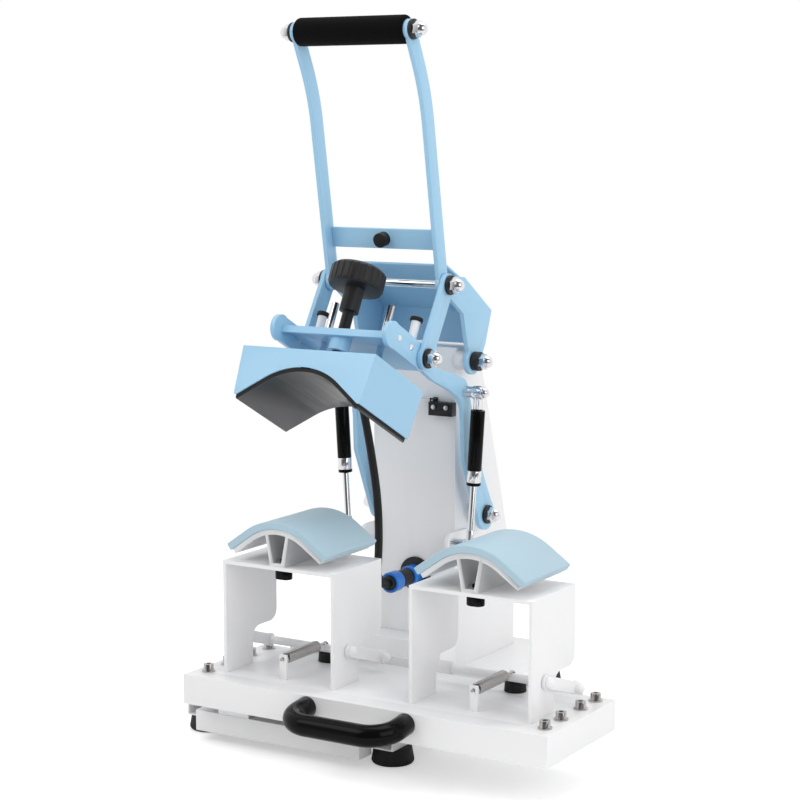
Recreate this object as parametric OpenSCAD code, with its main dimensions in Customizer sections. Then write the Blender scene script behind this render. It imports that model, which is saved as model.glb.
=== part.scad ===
// Two-station cap heat press: a sliding tray carries two pedestals under a toggle-closed heating head.
// Millimetres. X runs along the tray's travel, Y towards the back, Z up from the floor.
// Lengths along Y start at the tray's front edge, lengths along X at the column's middle plane.

/* [Tray] */
// Length of the sliding tray
tray_w = 480; // [460:1:540]
// Depth of the tray
tray_d = 167; // [160:1:190]
// Height of the tray's folded edge
tray_edge = 35; // [24:1:38]
// Height of the tray's top above the floor
tray_top = 86; // [82:1:110]
// Sheet thickness of the tray, the base pan and the column
sheet = 3; // [2:0.5:4]
// Height of the lip along the tray's back edge
lip_h = 10; // [6:1:14]
// Distance from the end of the tray to its row of screws
screw_inset = 17; // [14:1:24]
// Leg spacing of the pull handle
pull_span = 130; // [100:1:180]
// How far the pull handle stands out
pull_reach = 60; // [50:1:80]
// Thickness of the pull handle's bar
pull_d = 25; // [18:1:28]

/* [Slide] */
// Diameter of the guide shafts
shaft_d = 16; // [12:1:20]
// Place of the front guide shaft behind the tray's front edge
shaft_front_y = 46; // [42:1:52]
// Spacing of the two guide shafts
shaft_pitch = 86; // [78:1:94]
// Height of a shaft support, tray to shaft centre
support_h = 27; // [24:1:32]
// Width of a bearing block across the shaft
block_w = 40; // [34:1:44]
// Length of a bearing block along the shaft
block_l = 44; // [36:1:50]
// Place of the bearing blocks either side of the column's middle plane
block_x = 60; // [48:1:62]

/* [Stations] */
// Width of a pedestal
station_w = 154; // [140:1:170]
// Space on the tray beyond the pedestals at each end
tray_end = 36; // [32:1:40]
// Depth of a pedestal
station_d = 104; // [96:1:110]
// Height of a pedestal
station_h = 135; // [120:1:150]
// Place of the pedestals behind the tray's front edge
station_y = 32; // [30:1:40]
// Wall of a pedestal
station_wall = 4; // [3:0.5:6]
// Height of the notch in the pedestal's back edge
notch_h = 58; // [50:1:70]
// Depth of that notch
notch_d = 50; // [40:1:56]
// Radius of the pad's rounded top
pad_r = 75; // [70:1:90]
// Angle from the top to the pad's straight flanks
pad_angle = 35; // [30:1:38]
// Chord of the pad
pad_chord = 140; // [130:1:150]
// Depth of the pad
pad_d = 108; // [100:1:112]
// Thickness of the pad
pad_t = 9; // [6:0.5:11]
// Height of the pad's top above the pedestal
pad_rise = 53; // [50:1:60]
// Thickness of the platen
platen_t = 6; // [4:0.5:8]

/* [Base] */
// Width of the base pan
pan_w = 230; // [210:1:240]
// Depth of the base pan
pan_d = 504; // [490:1:540]
// Place of the pan's front edge behind the tray's front edge
pan_y = 26; // [20:1:26]
// Height of the pan's folded edge
pan_edge = 25; // [20:1:30]
// Width of a foot bar
bar_w = 30; // [24:1:36]
// Diameter of a rubber foot
foot_d = 50; // [40:1:56]

/* [Column] */
// Gap between the tray's back edge and the column
column_gap = 173; // [165:1:185]
// Width of the column
column_w = 120; // [112:1:130]
// Depth of the column at its top
column_top_d = 58; // [54:1:64]
// Depth of the column at its base
column_base_d = 160; // [150:1:165]

/* [Linkage] */
// Lift pivot behind the column's front face
lift_in = 42; // [38:1:46]
// Lift pivot above the tray
lift_up = 148; // [144:1:154]
// Crank pivot behind the column's front face
crank_in = 7; // [4:1:10]
// Crank pivot above the lift pivot
crank_up = 200; // [196:1:204]
// Toggle pin in front of the crank pivot
toggle_out = 74; // [72:1:78]
// Toggle pin above the crank pivot
toggle_up = 100; // [96:1:102]
// Link pin in front of the crank pivot
link_out = 126; // [123:1:128]
// Link pin above the crank pivot
link_up = 16; // [13:1:18]
// Thickness of the arms, cheeks and links
plate_t = 6; // [5:0.5:7]
// Diameter of the pivot pins
pin_d = 10; // [8:1:12]
// Diameter of the lift arm's lower eye
arm_eye = 40; // [36:1:44]
// Width of the toggle links
link_w = 26; // [24:1:32]

/* [Handle] */
// Grip in front of the toggle pin
grip_out = 76; // [72:1:82]
// Grip above the toggle pin
grip_up = 302; // [280:1:320]
// Diameter of the grip
grip_d = 34; // [28:1:38]
// Width of a handle arm
strap_w = 20; // [18:1:24]
// Lean of the arm's lower stretch
lean_low = 10; // [8:1:12]
// Lean of the arm's upper stretch
lean_high = 26; // [24:1:30]
// Radius of the bend between them
bend_r = 260; // [220:5:300]
// Height of the crossbar plate
crossbar_h = 25; // [20:1:30]

/* [Head] */
// Gap between the closed heating plate and the pad at mid setting
press_gap = 10; // [7:0.5:12]
// Chord of the heating plate
heater_chord = 167; // [160:1:172]
// Depth of the heat shield
shield_d = 120; // [114:1:124]
// Height of the shield's top above the heating plate's middle
shield_rise = 27; // [24:1:30]
// How much wider the shield is at its top on each side
shield_splay = 5; // [2:0.5:7]
// Thickness of the heating plate
heat_t = 12; // [10:0.5:14]
// Diameter of the pressure knob
knob_d = 68; // [56:1:80]
// Height of the knob above the carrier
knob_up = 62; // [54:1:70]
// Diameter of the pressure screw
screw_d = 14; // [12:1:18]

/* [Gas struts] */
// Diameter of the strut's tube
tube_d = 18; // [15:1:20]
// Diameter of the strut's rod
rod_d = 8; // [6:1:8]
// Upper strut stud in front of the lift pivot
strut_out = 57; // [53:1:61]
// Upper strut stud above the lift pivot
strut_up = 164; // [160:1:168]
// Length of the open strut between its studs
strut_l = 194; // [188:1:198]
// Place of the upper studs either side of the column's middle plane
strut_x = 102; // [99:1:106]
// How far the struts lean in towards their lower studs
strut_in = 12; // [8:1:14]

/* [Hidden] */
$fn = 64;
arch_steps = 12;

white = [0.93, 0.93, 0.94];
blue = [0.56, 0.79, 0.93];
black = [0.07, 0.07, 0.08];
steel = [0.75, 0.75, 0.77];
rubber = [0.05, 0.05, 0.05];

// Clearances: a running fit, a fit between still pieces, and the space between moving plates
run_fit = 0.05;
seat_fit = 0.1;
plate_gap = 0.8;
rub_gap = 0.3;
through = 1;

// Places of the main pieces
station_pitch = tray_w - station_w - 2 * tray_end;
tray_x = station_pitch / 2;
station_mid_y = station_y + station_d / 2;
pedestal_top = tray_top + station_h;
shaft_z = tray_top - sheet - support_h;
block_rise = 19.25;
base_top = shaft_z - block_rise;
column_y = tray_d + column_gap;
column_x = column_w / 2;
shaft_ys = [shaft_front_y, shaft_front_y + shaft_pitch];
foot_h = 20;
bar_x = pan_w / 2 + bar_w / 2;
foot_inset = 25;
foot_ys = [pan_y + foot_inset + 24, pan_y + pan_d - foot_inset - 55];

// Linkage points in the YZ plane, handle up
pivot_d = [column_y + lift_in, tray_top + lift_up];
pivot_c = [column_y + crank_in, pivot_d.y + crank_up];
pivot_a = pivot_c + [-toggle_out, toggle_up];
pivot_b = pivot_c + [-link_out, link_up];
grip_at = pivot_a + [-grip_out, grip_up];
strut_top = pivot_d + [-strut_out, strut_up];
strut_foot = strut_top - [0, strut_l];
column_h = pivot_c.y + 16 - base_top;

// Turn of the lift arms from open to closed, where crank and link lie in one line
function corner(a, b, c) = acos((a * a + b * b - c * c) / (2 * a * b));
function turned(p, a) = [p.x * cos(a) - p.y * sin(a), p.x * sin(a) + p.y * cos(a)];
function about(p, c, a) = c + turned(p - c, a);
side_cd = norm(pivot_c - pivot_d);
side_db = norm(pivot_b - pivot_d);
toggle_l = norm(pivot_a - pivot_c) + norm(pivot_b - pivot_a);
lift_angle = corner(side_cd, side_db, toggle_l - 0.2) - corner(side_cd, side_db, norm(pivot_b - pivot_c));
closed_b = about(pivot_b, pivot_d, lift_angle);

// Layers of plates out from the column, each on both sides
bush_l = 16;
lift_x = column_x + bush_l;
crank_x = lift_x;
link_x = crank_x + plate_t + plate_gap;
pin_r = pin_d / 2;
washer_d = 24;
washer_t = 4;
hub_t = 10;
nut_af = 17;
nut_h = 8;
nut_thread = 9;
crank_nut_x = crank_x + plate_t + rub_gap + hub_t;
lift_nut_x = lift_x + plate_t + rub_gap + washer_t;
toggle_nut_x = link_x + plate_t + rub_gap + washer_t;
link_nut_x = link_x + plate_t + washer_t;
grip_nut_x = crank_x + plate_t + washer_t;

// Head, given in its closed place
head_y = station_mid_y;
pad_apex = pedestal_top + pad_rise;
pad_centre_z = pad_apex - pad_r;
pad_flank = (pad_chord / 2 - pad_r * sin(pad_angle)) / cos(pad_angle);
heater_r = pad_r + press_gap;
heater_flank = (heater_chord / 2 - heater_r * sin(pad_angle)) / cos(pad_angle);
heater_apex = pad_centre_z + heater_r;
heater_tip_z = pad_centre_z + heater_r * cos(pad_angle) - heater_flank * sin(pad_angle);
shield_x = heater_chord / 2 + 4;
shield_t = 2;
shield_top = heater_apex + shield_rise;
shield_foot = heater_tip_z + 6;
seal_t = 5;
carrier_t = 4;
carrier_z = closed_b.y;
carrier_y = head_y - 18;
carrier_back = closed_b.x + 48;
carrier_lip = 9;
pressure_t = 6;
nut_boss_d = 26;
nut_boss_h = 24;
pin_x = 40;
pin_y = head_y + 27;
pin_top = carrier_z + 53;
guide_d = 9;
rest_x = lift_x - 9;
rest_y = head_y + 46;
knob_h = 26;
knob_z = carrier_z + knob_up;
gland_d = 16;
gland_l = 6;
gland_z = heater_apex + 8;

// Heater cable: points in the YZ plane, from the gland down to the plug
cable_d = 10;
cable_x = 3;
cable_start = about([head_y + shield_d / 2 + gland_l, gland_z], pivot_d, -lift_angle);
plug_z = 156;
plug_front = 270;
cable_points = [
    cable_start, cable_start + turned([5, 0], -lift_angle), [213, 376], [221, 356], [229, 337], [236, 313],
    [242, 288], [246, 271], [248, 253], [249, 236], [248, 219], [247, 202], [247, 186], [250, 171],
    [256, 160], [264, plug_z], [plug_front, plug_z]
];

// Where the middle of the footprint lies, which is the origin
front_y = -pull_reach;
back_y = pan_y + pan_d;
left_x = -(bar_x + foot_d / 2);
right_x = tray_x + tray_w / 2;
mid_x = (left_x + right_x) / 2;
mid_y = (front_y + back_y) / 2;

// Shared shapes
module machine() {
    translate([-mid_x, -mid_y, 0]) children();
}

module mirrored() {
    children();
    mirror([1, 0, 0]) children();
}

module yz(x, t) {
    translate([x, 0, 0]) rotate([90, 0, 90]) linear_extrude(t) children();
}

module xz(y, t) {
    translate([0, y + t, 0]) rotate([90, 0, 0]) linear_extrude(t) children();
}

module x_rod(at, x0, x1, r) {
    translate([x0, at.x, at.y]) rotate([0, 90, 0]) cylinder(h = x1 - x0, r = r);
}

module y_rod(x, z, y0, y1, r) {
    translate([x, y0, z]) rotate([-90, 0, 0]) cylinder(h = y1 - y0, r = r);
}

// A bar of even width through a list of points, round at each point
module strap(points, w) {
    for (p = points) translate(p) circle(d = w);
    for (i = [1 : len(points) - 1]) {
        step = points[i] - points[i - 1];
        translate(points[i - 1]) rotate(atan2(step.y, step.x))
            translate([0, -w / 2]) square([norm(step), w]);
    }
}

// Strip along a list of points between two offsets to its left, with mitred corners
function left_of(v) = [-v.y, v.x] / norm(v);
function mitre(points, i) = let (
    last = len(points) - 1,
    a = left_of(points[min(i + 1, last)] - points[min(i, last - 1)]),
    b = left_of(points[max(i, 1)] - points[max(i - 1, 0)])
) (a + b) / (1 + a * b);
module ribbon(points, from, to) {
    last = len(points) - 1;
    polygon(concat(
        [for (i = [0 : last]) points[i] + from * mitre(points, i)],
        [for (i = [last : -1 : 0]) points[i] + to * mitre(points, i)]
    ));
}

// Line of an arch with a round top and straight flanks, about the centre of its round top
function arch_line(r, flank) = let (
    foot = r * [sin(pad_angle), cos(pad_angle)],
    tip = foot + flank * [cos(pad_angle), -sin(pad_angle)],
    step = pad_angle / arch_steps,
    round_top = [for (i = [-arch_steps : arch_steps]) r * [sin(i * step), cos(i * step)]]
) concat([[-tip.x, tip.y]], round_top, [tip]);
module arch(r_in, r_out, flank) {
    top = arch_line(r_out, flank);
    polygon(concat(arch_line(r_in, flank), [for (i = [len(top) - 1 : -1 : 0]) top[i]]));
}

// Space under an arch, down to well below its flanks
module under_arch(r, flank) {
    line = arch_line(r, flank);
    tip = line[len(line) - 1].x;
    polygon(concat(line, [[tip, -r], [-tip, -r]]));
}

module washer(at, x, t) {
    difference() {
        x_rod(at, x, x + t, washer_d / 2);
        x_rod(at, x - through, x + t + through, pin_r + rub_gap);
    }
}

module acorn_nut(at, x) {
    difference() {
        union() {
            translate([x, at.x, at.y])
                rotate([0, 90, 0]) cylinder(h = nut_h, d = nut_af / cos(30), $fn = 6);
            translate([x + nut_h, at.x, at.y]) sphere(d = nut_af - 1);
        }
        x_rod(at, x - nut_af, x, nut_af);
        x_rod(at, x - through, x + nut_thread + run_fit, pin_r + run_fit);
    }
}

module dome(at, x, r) {
    intersection() {
        translate([x, at.x, at.y]) sphere(r);
        x_rod(at, x, x + 2 * r, r + through);
    }
}

module at_stations() {
    for (i = [0, 1]) translate([i * station_pitch, 0, 0]) children();
}

// Shows a piece drawn in the head's closed place as it stands with the head open
module head_open() {
    translate([0, pivot_d.x, pivot_d.y])
        rotate([-lift_angle, 0, 0])
            translate([0, -pivot_d.x, -pivot_d.y]) children();
}

// Base
module base_pan() color(white) machine() {
    difference() {
        translate([-pan_w / 2, pan_y, base_top - pan_edge]) cube([pan_w, pan_d, pan_edge]);
        translate([-pan_w / 2 + sheet, pan_y + sheet, base_top - pan_edge - through])
            cube([pan_w - 2 * sheet, pan_d - 2 * sheet, pan_edge - sheet + through]);
        for (side = [-1, 1], y = foot_ys)
            translate([side * bar_x, y, 0]) cylinder(h = foot_h + rub_gap, d = foot_d + 4);
    }
}

bar_t = 2;
module foot_bars() color(white) machine() mirrored() {
    bar_l = foot_ys[1] - foot_ys[0] + 2 * foot_inset;
    bar_h = base_top - foot_h;
    difference() {
        translate([pan_w / 2, foot_ys[0] - foot_inset, foot_h]) cube([bar_w, bar_l, bar_h]);
        translate([pan_w / 2 + bar_t, foot_ys[0] - foot_inset - through, foot_h + bar_t])
            cube([bar_w - 2 * bar_t, bar_l + 2 * through, bar_h - 2 * bar_t]);
    }
}

module rubber_feet() color(rubber) machine() mirrored() {
    foot_r = foot_d / 2;
    for (y = foot_ys)
        translate([bar_x, y, 0]) rotate_extrude()
            polygon([[0, 0], [foot_r - 2, 0], [foot_r, 3], [foot_r - 3, foot_h], [0, foot_h]]);
}

cover_w = 124;
cover_d = 40;
cover_h = 42;
cover_r = 14;
module cover_outline(in) {
    r = cover_r - in;
    half = cover_w / 2 - in;
    translate([-half, base_top]) square([2 * half, cover_h - cover_r]);
    translate([-half + r, base_top]) square([2 * (half - r), cover_h - in]);
    for (side = [-1, 1]) translate([side * (half - r), base_top + cover_h - cover_r]) circle(r);
}

module wiring_cover() color(white) machine() {
    y = column_y - cover_d;
    difference() {
        xz(y, cover_d) cover_outline(0);
        xz(y + sheet, cover_d) translate([0, -through]) cover_outline(sheet);
        xz(y + sheet, cover_d) cover_outline(sheet);
    }
}

// Column
column_taper = (column_base_d - column_top_d) / 320;
panel_w = 96;
panel_case = 90;
panel_y = column_y + 26;
panel_z = base_top + 60;
socket_d = 16;
inlet_w = 48;
inlet_h = 28;
switch_w = 28;
switch_h = 22;
back_fit_z = base_top + 14;
rear_y = column_y + column_base_d;
inlet_x = -28;
rocker_x = 24;

module column_side(in) {
    lean = sqrt(1 + column_taper * column_taper);
    top = column_h - in;
    top_back = column_top_d + column_taper * in - in * lean;
    base_back = column_base_d - in;
    shoulder = top - (base_back - top_back) / column_taper;
    translate([column_y, base_top])
        polygon([[in, 0], [in, top], [top_back, top], [base_back, shoulder], [base_back, 0]]);
}

module column() color(white) machine() {
    difference() {
        yz(-column_x, column_w) column_side(0);
        translate([0, 0, -through]) yz(-column_x + sheet, column_w - 2 * sheet) column_side(sheet);
        yz(-column_x + sheet, column_w - 2 * sheet) column_side(sheet);
        for (p = [pivot_c, pivot_d]) x_rod(p, -column_x - through, column_x + through, pin_r + seat_fit);
        y_rod(cable_x, plug_z, column_y - through, column_y + sheet + through, socket_d / 2 + seat_fit);
        translate([-column_x - through, panel_y - seat_fit, panel_z - seat_fit])
            cube([sheet + 2 * through, panel_case + 2 * seat_fit, panel_case + 2 * seat_fit]);
        back_cut(inlet_x, inlet_w, inlet_h);
        back_cut(rocker_x, switch_w, switch_h);
    }
}

module back_cut(x, w, h) {
    translate([x - w / 2 - seat_fit, rear_y - sheet - through, back_fit_z - seat_fit])
        cube([w + 2 * seat_fit, sheet + 2 * through, h + 2 * seat_fit]);
}

bezel_t = 5;
window_w = 70;
window_h = 34;
window_t = 1.5;
window_y = panel_y + (panel_case - window_w) / 2;
window_z = panel_z + 44;
key_d = 13;
module controller() color(black) machine() {
    frame_in = (panel_w - panel_case) / 2;
    case_l = 50;
    difference() {
        union() {
            translate([-column_x - bezel_t, panel_y - frame_in, panel_z - frame_in])
                cube([bezel_t, panel_w, panel_w]);
            translate([-column_x, panel_y, panel_z]) cube([case_l, panel_case, panel_case]);
        }
        translate([-column_x - bezel_t - through, window_y, window_z])
            cube([window_t + through, window_w, window_h]);
        for (i = [0 : 3]) key_place(i) cylinder(h = window_t + through, d = key_d + 2 * seat_fit);
    }
}

module key_place(i) {
    translate([-column_x - bezel_t + window_t, panel_y + panel_case / 2 + (i - 1.5) * 19, panel_z + 20])
        rotate([0, -90, 0]) children();
}

module controller_window() color([0.25, 0.05, 0.05]) machine()
    translate([-column_x - bezel_t, window_y + seat_fit, window_z + seat_fit])
        cube([window_t, window_w - 2 * seat_fit, window_h - 2 * seat_fit]);

module keypad() color(steel) machine()
    for (i = [0 : 3]) key_place(i) cylinder(h = window_t + 1, d = key_d);

module mains_inlet() color(black) machine() difference() {
    flange_t = 3;
    union() {
        translate([inlet_x - inlet_w / 2 - 3, rear_y, back_fit_z - 3])
            cube([inlet_w + 6, flange_t, inlet_h + 6]);
        translate([inlet_x - inlet_w / 2, rear_y - 22, back_fit_z]) cube([inlet_w, 22, inlet_h]);
    }
    translate([inlet_x - 12, rear_y - 16, back_fit_z + inlet_h / 2 - 8]) cube([24, 22, 16]);
}

rocker_l = switch_w - 6;
rocker_h = switch_h - 6;
rocker_in = 5;
module power_switch() color(black) machine() difference() {
    union() {
        translate([rocker_x - switch_w / 2 - 2, rear_y, back_fit_z - 2])
            cube([switch_w + 4, 2, switch_h + 4]);
        translate([rocker_x - switch_w / 2, rear_y - 20, back_fit_z]) cube([switch_w, 20, switch_h]);
    }
    translate([rocker_x - switch_w / 2 + 2, rear_y - 9, back_fit_z + 2])
        cube([switch_w - 4, 12, switch_h - 4]);
    rocker_axle(1.5 + run_fit, switch_w / 2 - 1);
}

module rocker_axle(r, half) {
    translate([rocker_x - half, rear_y - rocker_in, back_fit_z + switch_h / 2]) rotate([0, 90, 0])
        cylinder(h = 2 * half, r = r);
}

// Rocker with two flat faces that meet in a shallow valley
module power_rocker() color([0.6, 0.05, 0.05]) machine() {
    half = rocker_h / 2;
    translate([0, rear_y - rocker_in, back_fit_z + switch_h / 2])
        yz(rocker_x - rocker_l / 2, rocker_l) intersection() {
            circle(half);
            polygon([[-2, -rocker_h], [-2, rocker_h], [8.5, half], [5, 0], [6.5, -half]]);
        }
    rocker_axle(1.5, switch_w / 2 - 1.5);
}

module pivot_shafts() color(steel) machine() {
    crank_end = crank_nut_x + nut_thread;
    lift_end = lift_nut_x + nut_thread;
    x_rod(pivot_c, -crank_end, crank_end, pin_r);
    x_rod(pivot_d, -lift_end, lift_end, pin_r);
}

module pivot_bushes() color(white) machine() mirrored() for (p = [pivot_c, pivot_d]) difference() {
    x_rod(p, column_x, lift_x - rub_gap, washer_d / 2);
    x_rod(p, column_x - through, lift_x + through, pin_r + seat_fit);
}

module pivot_washers() color(black) machine() mirrored() {
    washer(pivot_c, crank_nut_x - hub_t, hub_t);
    washer(pivot_d, lift_nut_x - washer_t, washer_t);
}

module pivot_nuts() color(steel) machine() mirrored() {
    acorn_nut(pivot_c, crank_nut_x);
    acorn_nut(pivot_d, lift_nut_x);
}

// Limit switch on the column's front
micro_w = 34;
micro_h = 17;
micro_t = 11;
micro_x = 27;
micro_z = pivot_c.y - 70;
micro_hole = 3;
lever_pin = [column_y - micro_t / 2, micro_z + micro_h + 2.2];
module micro_screw_places() {
    for (x = [8, 26]) translate([micro_x + x, 0, micro_z + 11]) children();
}

module limit_switch() color(black) machine() difference() {
    union() {
        translate([micro_x, column_y - micro_t, micro_z]) cube([micro_w, micro_t, micro_h]);
        translate([micro_x + 2, column_y - micro_t, micro_z + micro_h]) cube([6, 2.5, 5]);
        translate([micro_x + 2, column_y - 2.5, micro_z + micro_h]) cube([6, 2.5, 5]);
    }
    micro_screw_places()
        y_rod(0, 0, column_y - micro_t - through, column_y + through, micro_hole / 2 + seat_fit);
    y_rod(micro_x + 5, lever_pin.y, column_y - micro_t - through, column_y + through, 1 + run_fit);
}

module switch_screws() color(steel) machine() micro_screw_places() {
    y_rod(0, 0, column_y - micro_t, column_y, micro_hole / 2);
    y_rod(0, 0, column_y - micro_t - 2.5, column_y - micro_t, 3);
}

module switch_lever() color(steel) machine() {
    y_rod(micro_x + 5, lever_pin.y, column_y - micro_t + 0.3, column_y - 0.3, 1);
    difference() {
        translate([micro_x - 14, column_y - micro_t + 3, lever_pin.y + 0.9]) cube([21, micro_t - 6, 0.8]);
        y_rod(micro_x + 5, lever_pin.y, column_y - micro_t, column_y, 0.9);
    }
}

// Heater cable, its socket in the column and its plug
flange_d = 44;
flange_t = 4;
ring_d = 26;
ring_l = 18;
core_d = 18;
barrel_d = 22;
ring_front = plug_front + 4;
collar_front = column_y - flange_t - ring_l;
module plug_rod(y0, y1, d) {
    y_rod(cable_x, plug_z, y0, y1, d / 2);
}

module heater_socket() color(black) machine() {
    plug_rod(column_y - flange_t, column_y, flange_d);
    plug_rod(collar_front, column_y - flange_t, core_d);
    plug_rod(column_y, column_y + sheet + 6, socket_d);
}

module plug_rings() color([0.05, 0.3, 0.75]) machine() for (y = [ring_front, collar_front]) difference() {
    plug_rod(y, y + ring_l, ring_d);
    plug_rod(y - through, y + ring_l + through, core_d + 2 * seat_fit);
}

module plug_body() color(black) machine() {
    plug_rod(plug_front, ring_front + ring_l, core_d);
    plug_rod(ring_front + ring_l, collar_front, barrel_d);
}

// Tube of round section swept along points in the YZ plane
module yz_tube(points, r, sides) {
    last = len(points) - 1;
    function heading(i) = let (v = points[min(i + 1, last)] - points[max(i - 1, 0)]) v / norm(v);
    ring = [for (i = [0 : last], k = [0 : sides - 1])
        let (side = r * sin(360 * k / sides), rise = r * cos(360 * k / sides), h = heading(i))
        [side, points[i].x - rise * h.y, points[i].y + rise * h.x]];
    walls = [for (i = [0 : last - 1], k = [0 : sides - 1])
        let (a = i * sides, n = (k + 1) % sides)
        each [[a + k, a + n, a + sides + n], [a + k, a + sides + n, a + sides + k]]];
    caps = [for (k = [1 : sides - 2]) each [[0, k + 1, k], last * sides * [1, 1, 1] + [0, k, k + 1]]];
    polyhedron(ring, concat(walls, caps));
}

module heater_cable() color(rubber) machine()
    translate([cable_x, 0, 0]) yz_tube(cable_points, cable_d / 2, 10);

// Slide
module bearing_blocks() color(steel) machine()
    for (x = [-block_x, block_x], y = shaft_ys) translate([x, y, shaft_z]) difference() {
        translate([-block_l / 2, -block_w / 2, -block_rise]) cube([block_l, block_w, 2 * block_rise - 4]);
        rotate([0, 90, 0]) cylinder(h = block_l + 2 * through, d = shaft_d + 2 * run_fit, center = true);
    }

stud_r = 5;
socket_r = 8.5;
socket_w = 14;
bracket_t = 5;
foot_x = strut_x - strut_in;
module strut_brackets() color(white) machine() mirrored() {
    bracket_back = column_y + 22;
    yz(column_x, bracket_t) difference() {
        strap([strut_foot, [bracket_back, strut_foot.y]], 26);
        translate([bracket_back + 5, 0]) square(2 * strut_foot.y);
    }
    stud(strut_foot, column_x + bracket_t, foot_x);
}

// Stud through a strut's eye at x, with a wide shank from x0 and a domed end
module stud(at, x0, x) {
    half = socket_w / 2 + rub_gap;
    x_rod(at, x0, x - half, stud_r + 2);
    x_rod(at, x - half, x + half, stud_r);
    intersection() {
        translate([x + half, at.x, at.y]) sphere(r = stud_r + 1.5);
        x_rod(at, x + half, x + half + socket_w, stud_r + 2);
    }
}

// Tray
screw_d_tray = 6;
screw_head_d = 12;
screw_pair = 38;
module tray_screw_places() {
    for (side = [-1, 1], y = shaft_ys, half = [-1, 1])
        translate([tray_x + side * (tray_w / 2 - screw_inset), y + half * screw_pair / 2, tray_top])
            children();
}

module tray() color(white) machine() difference() {
    union() {
        translate([tray_x - tray_w / 2, 0, tray_top - tray_edge]) cube([tray_w, tray_d, tray_edge]);
        translate([tray_x - tray_w / 2 + 40, tray_d - sheet, tray_top]) cube([tray_w - 80, sheet, lip_h]);
    }
    translate([tray_x - tray_w / 2 + sheet, sheet, tray_top - tray_edge - through])
        cube([tray_w - 2 * sheet, tray_d - 2 * sheet, tray_edge - sheet + through]);
    tray_screw_places() cylinder(h = 3 * sheet, d = screw_d_tray + 2 * seat_fit, center = true);
}

module tray_screws() color(steel) machine() tray_screw_places() {
    difference() {
        union() {
            cylinder(h = 1.6, d = screw_head_d + 4);
            translate([0, 0, 1.6]) cylinder(h = 7.5, d = screw_head_d);
        }
        translate([0, 0, 5]) cylinder(h = 6, d = screw_d_tray, $fn = 6);
    }
    translate([0, 0, -sheet - 9]) cylinder(h = sheet + 9, d = screw_d_tray);
}

support_l = 16;
support_w = 48;
module shaft_supports() color(steel) machine()
    for (side = [-1, 1], y = shaft_ys)
        translate([tray_x + side * (tray_w / 2 - screw_inset) - support_l / 2, y, tray_top - sheet])
            difference() {
                union() {
                    translate([0, -support_w / 2, -10]) cube([support_l, support_w, 10]);
                    translate([0, -support_w / 4, -support_h]) cube([support_l, support_w / 2, support_h]);
                    x_rod([0, -support_h], 0, support_l, support_w / 4);
                }
                x_rod([0, -support_h], -through, support_l + through, shaft_d / 2 + run_fit);
                for (half = [-1, 1])
                    translate([support_l / 2, half * screw_pair / 2, -12])
                        cylinder(h = 14, d = screw_d_tray + 2 * seat_fit);
            }

module guide_shafts() color(steel) machine()
    for (y = shaft_ys)
        x_rod([y, shaft_z], tray_x - tray_w / 2 + sheet + 5, tray_x + tray_w / 2 - sheet - 5, shaft_d / 2);

// Bridge handle: two bent legs and a straight bar between them, which droops a little to the front
pull_droop = 6;
module pull_handle() color(black) machine() {
    bend = 30;
    half = pull_span / 2;
    bar_y = -(pull_reach - pull_d / 2) / cos(pull_droop);
    translate([tray_x, 0, tray_top - pull_d / 2 - 0.5]) difference() {
        rotate([pull_droop, 0, 0]) {
            for (side = [-1, 1]) {
                y_rod(side * half, 0, bar_y + bend, pull_d / 4, pull_d / 2);
                translate([side * (half - bend), bar_y + bend, 0]) rotate(side > 0 ? -90 : 180)
                    rotate_extrude(angle = 90) translate([bend, 0]) circle(d = pull_d);
            }
            translate([bend - half, bar_y, 0]) rotate([0, 90, 0])
                cylinder(h = pull_span - 2 * bend, d = pull_d);
        }
        translate([-pull_span, 0, -pull_d]) cube([2 * pull_span, pull_d, 2 * pull_d]);
    }
}

// Stations
knob_screw_d = 8;
lock_y = station_y + 14;
module pedestal_wall() {
    low = station_d - notch_d;
    fillet = 14;
    difference() {
        square([station_d, station_h]);
        translate([low, -through]) square([notch_d + through, notch_h - 2 * fillet + through]);
        translate([low + fillet, -through]) square([notch_d, notch_h - fillet + through]);
        translate([low + fillet, notch_h - 2 * fillet]) circle(fillet);
        difference() {
            translate([station_d - fillet, notch_h - fillet - through]) square(fillet + through);
            translate([station_d - fillet, notch_h]) circle(fillet);
        }
    }
}

bail_pivot = [station_y + 30, tray_top + 40];
bail_stud_d = 8;
bail_x = station_w / 2 + plate_gap;
bail_t = 4;
module pedestals() color(white) machine() at_stations() difference() {
    union() {
        for (x = [-station_w / 2, station_w / 2 - station_wall])
            translate([0, station_y, tray_top]) yz(x, station_wall) pedestal_wall();
        translate([-station_w / 2, station_y, pedestal_top - station_wall])
            cube([station_w, station_d, station_wall]);
        mirrored() {
            x_rod(bail_pivot, station_w / 2, bail_x + bail_t + rub_gap, bail_stud_d / 2);
            dome(bail_pivot, bail_x + bail_t + rub_gap, bail_stud_d - 1);
        }
    }
    translate([0, lock_y, pedestal_top - 2 * station_wall])
        cylinder(h = 3 * station_wall, d = knob_screw_d + 2 * rub_gap);
}

web_top = 34;
web_low = 20;
web_t = 4.5;
module web_outline(in) {
    rise = pad_rise - pad_t - platen_t;
    low = web_low / 2 - in;
    top = web_top / 2 - in;
    polygon([[-low, in], [low, in], [top, rise + 2], [-top, rise + 2]]);
}

module platens() color(steel) machine() at_stations() {
    inner = pad_r - pad_t - platen_t;
    difference() {
        translate([0, 0, pedestal_top]) xz(station_y, station_d) {
            translate([0, pad_rise - pad_r]) arch(inner, inner + platen_t - seat_fit, pad_flank - 3);
            difference() {
                web_outline(0);
                web_outline(web_t);
            }
        }
        translate([0, lock_y, pedestal_top - through])
            cylinder(h = web_t + 2 * through, d = knob_screw_d + 2 * run_fit);
    }
}

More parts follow.
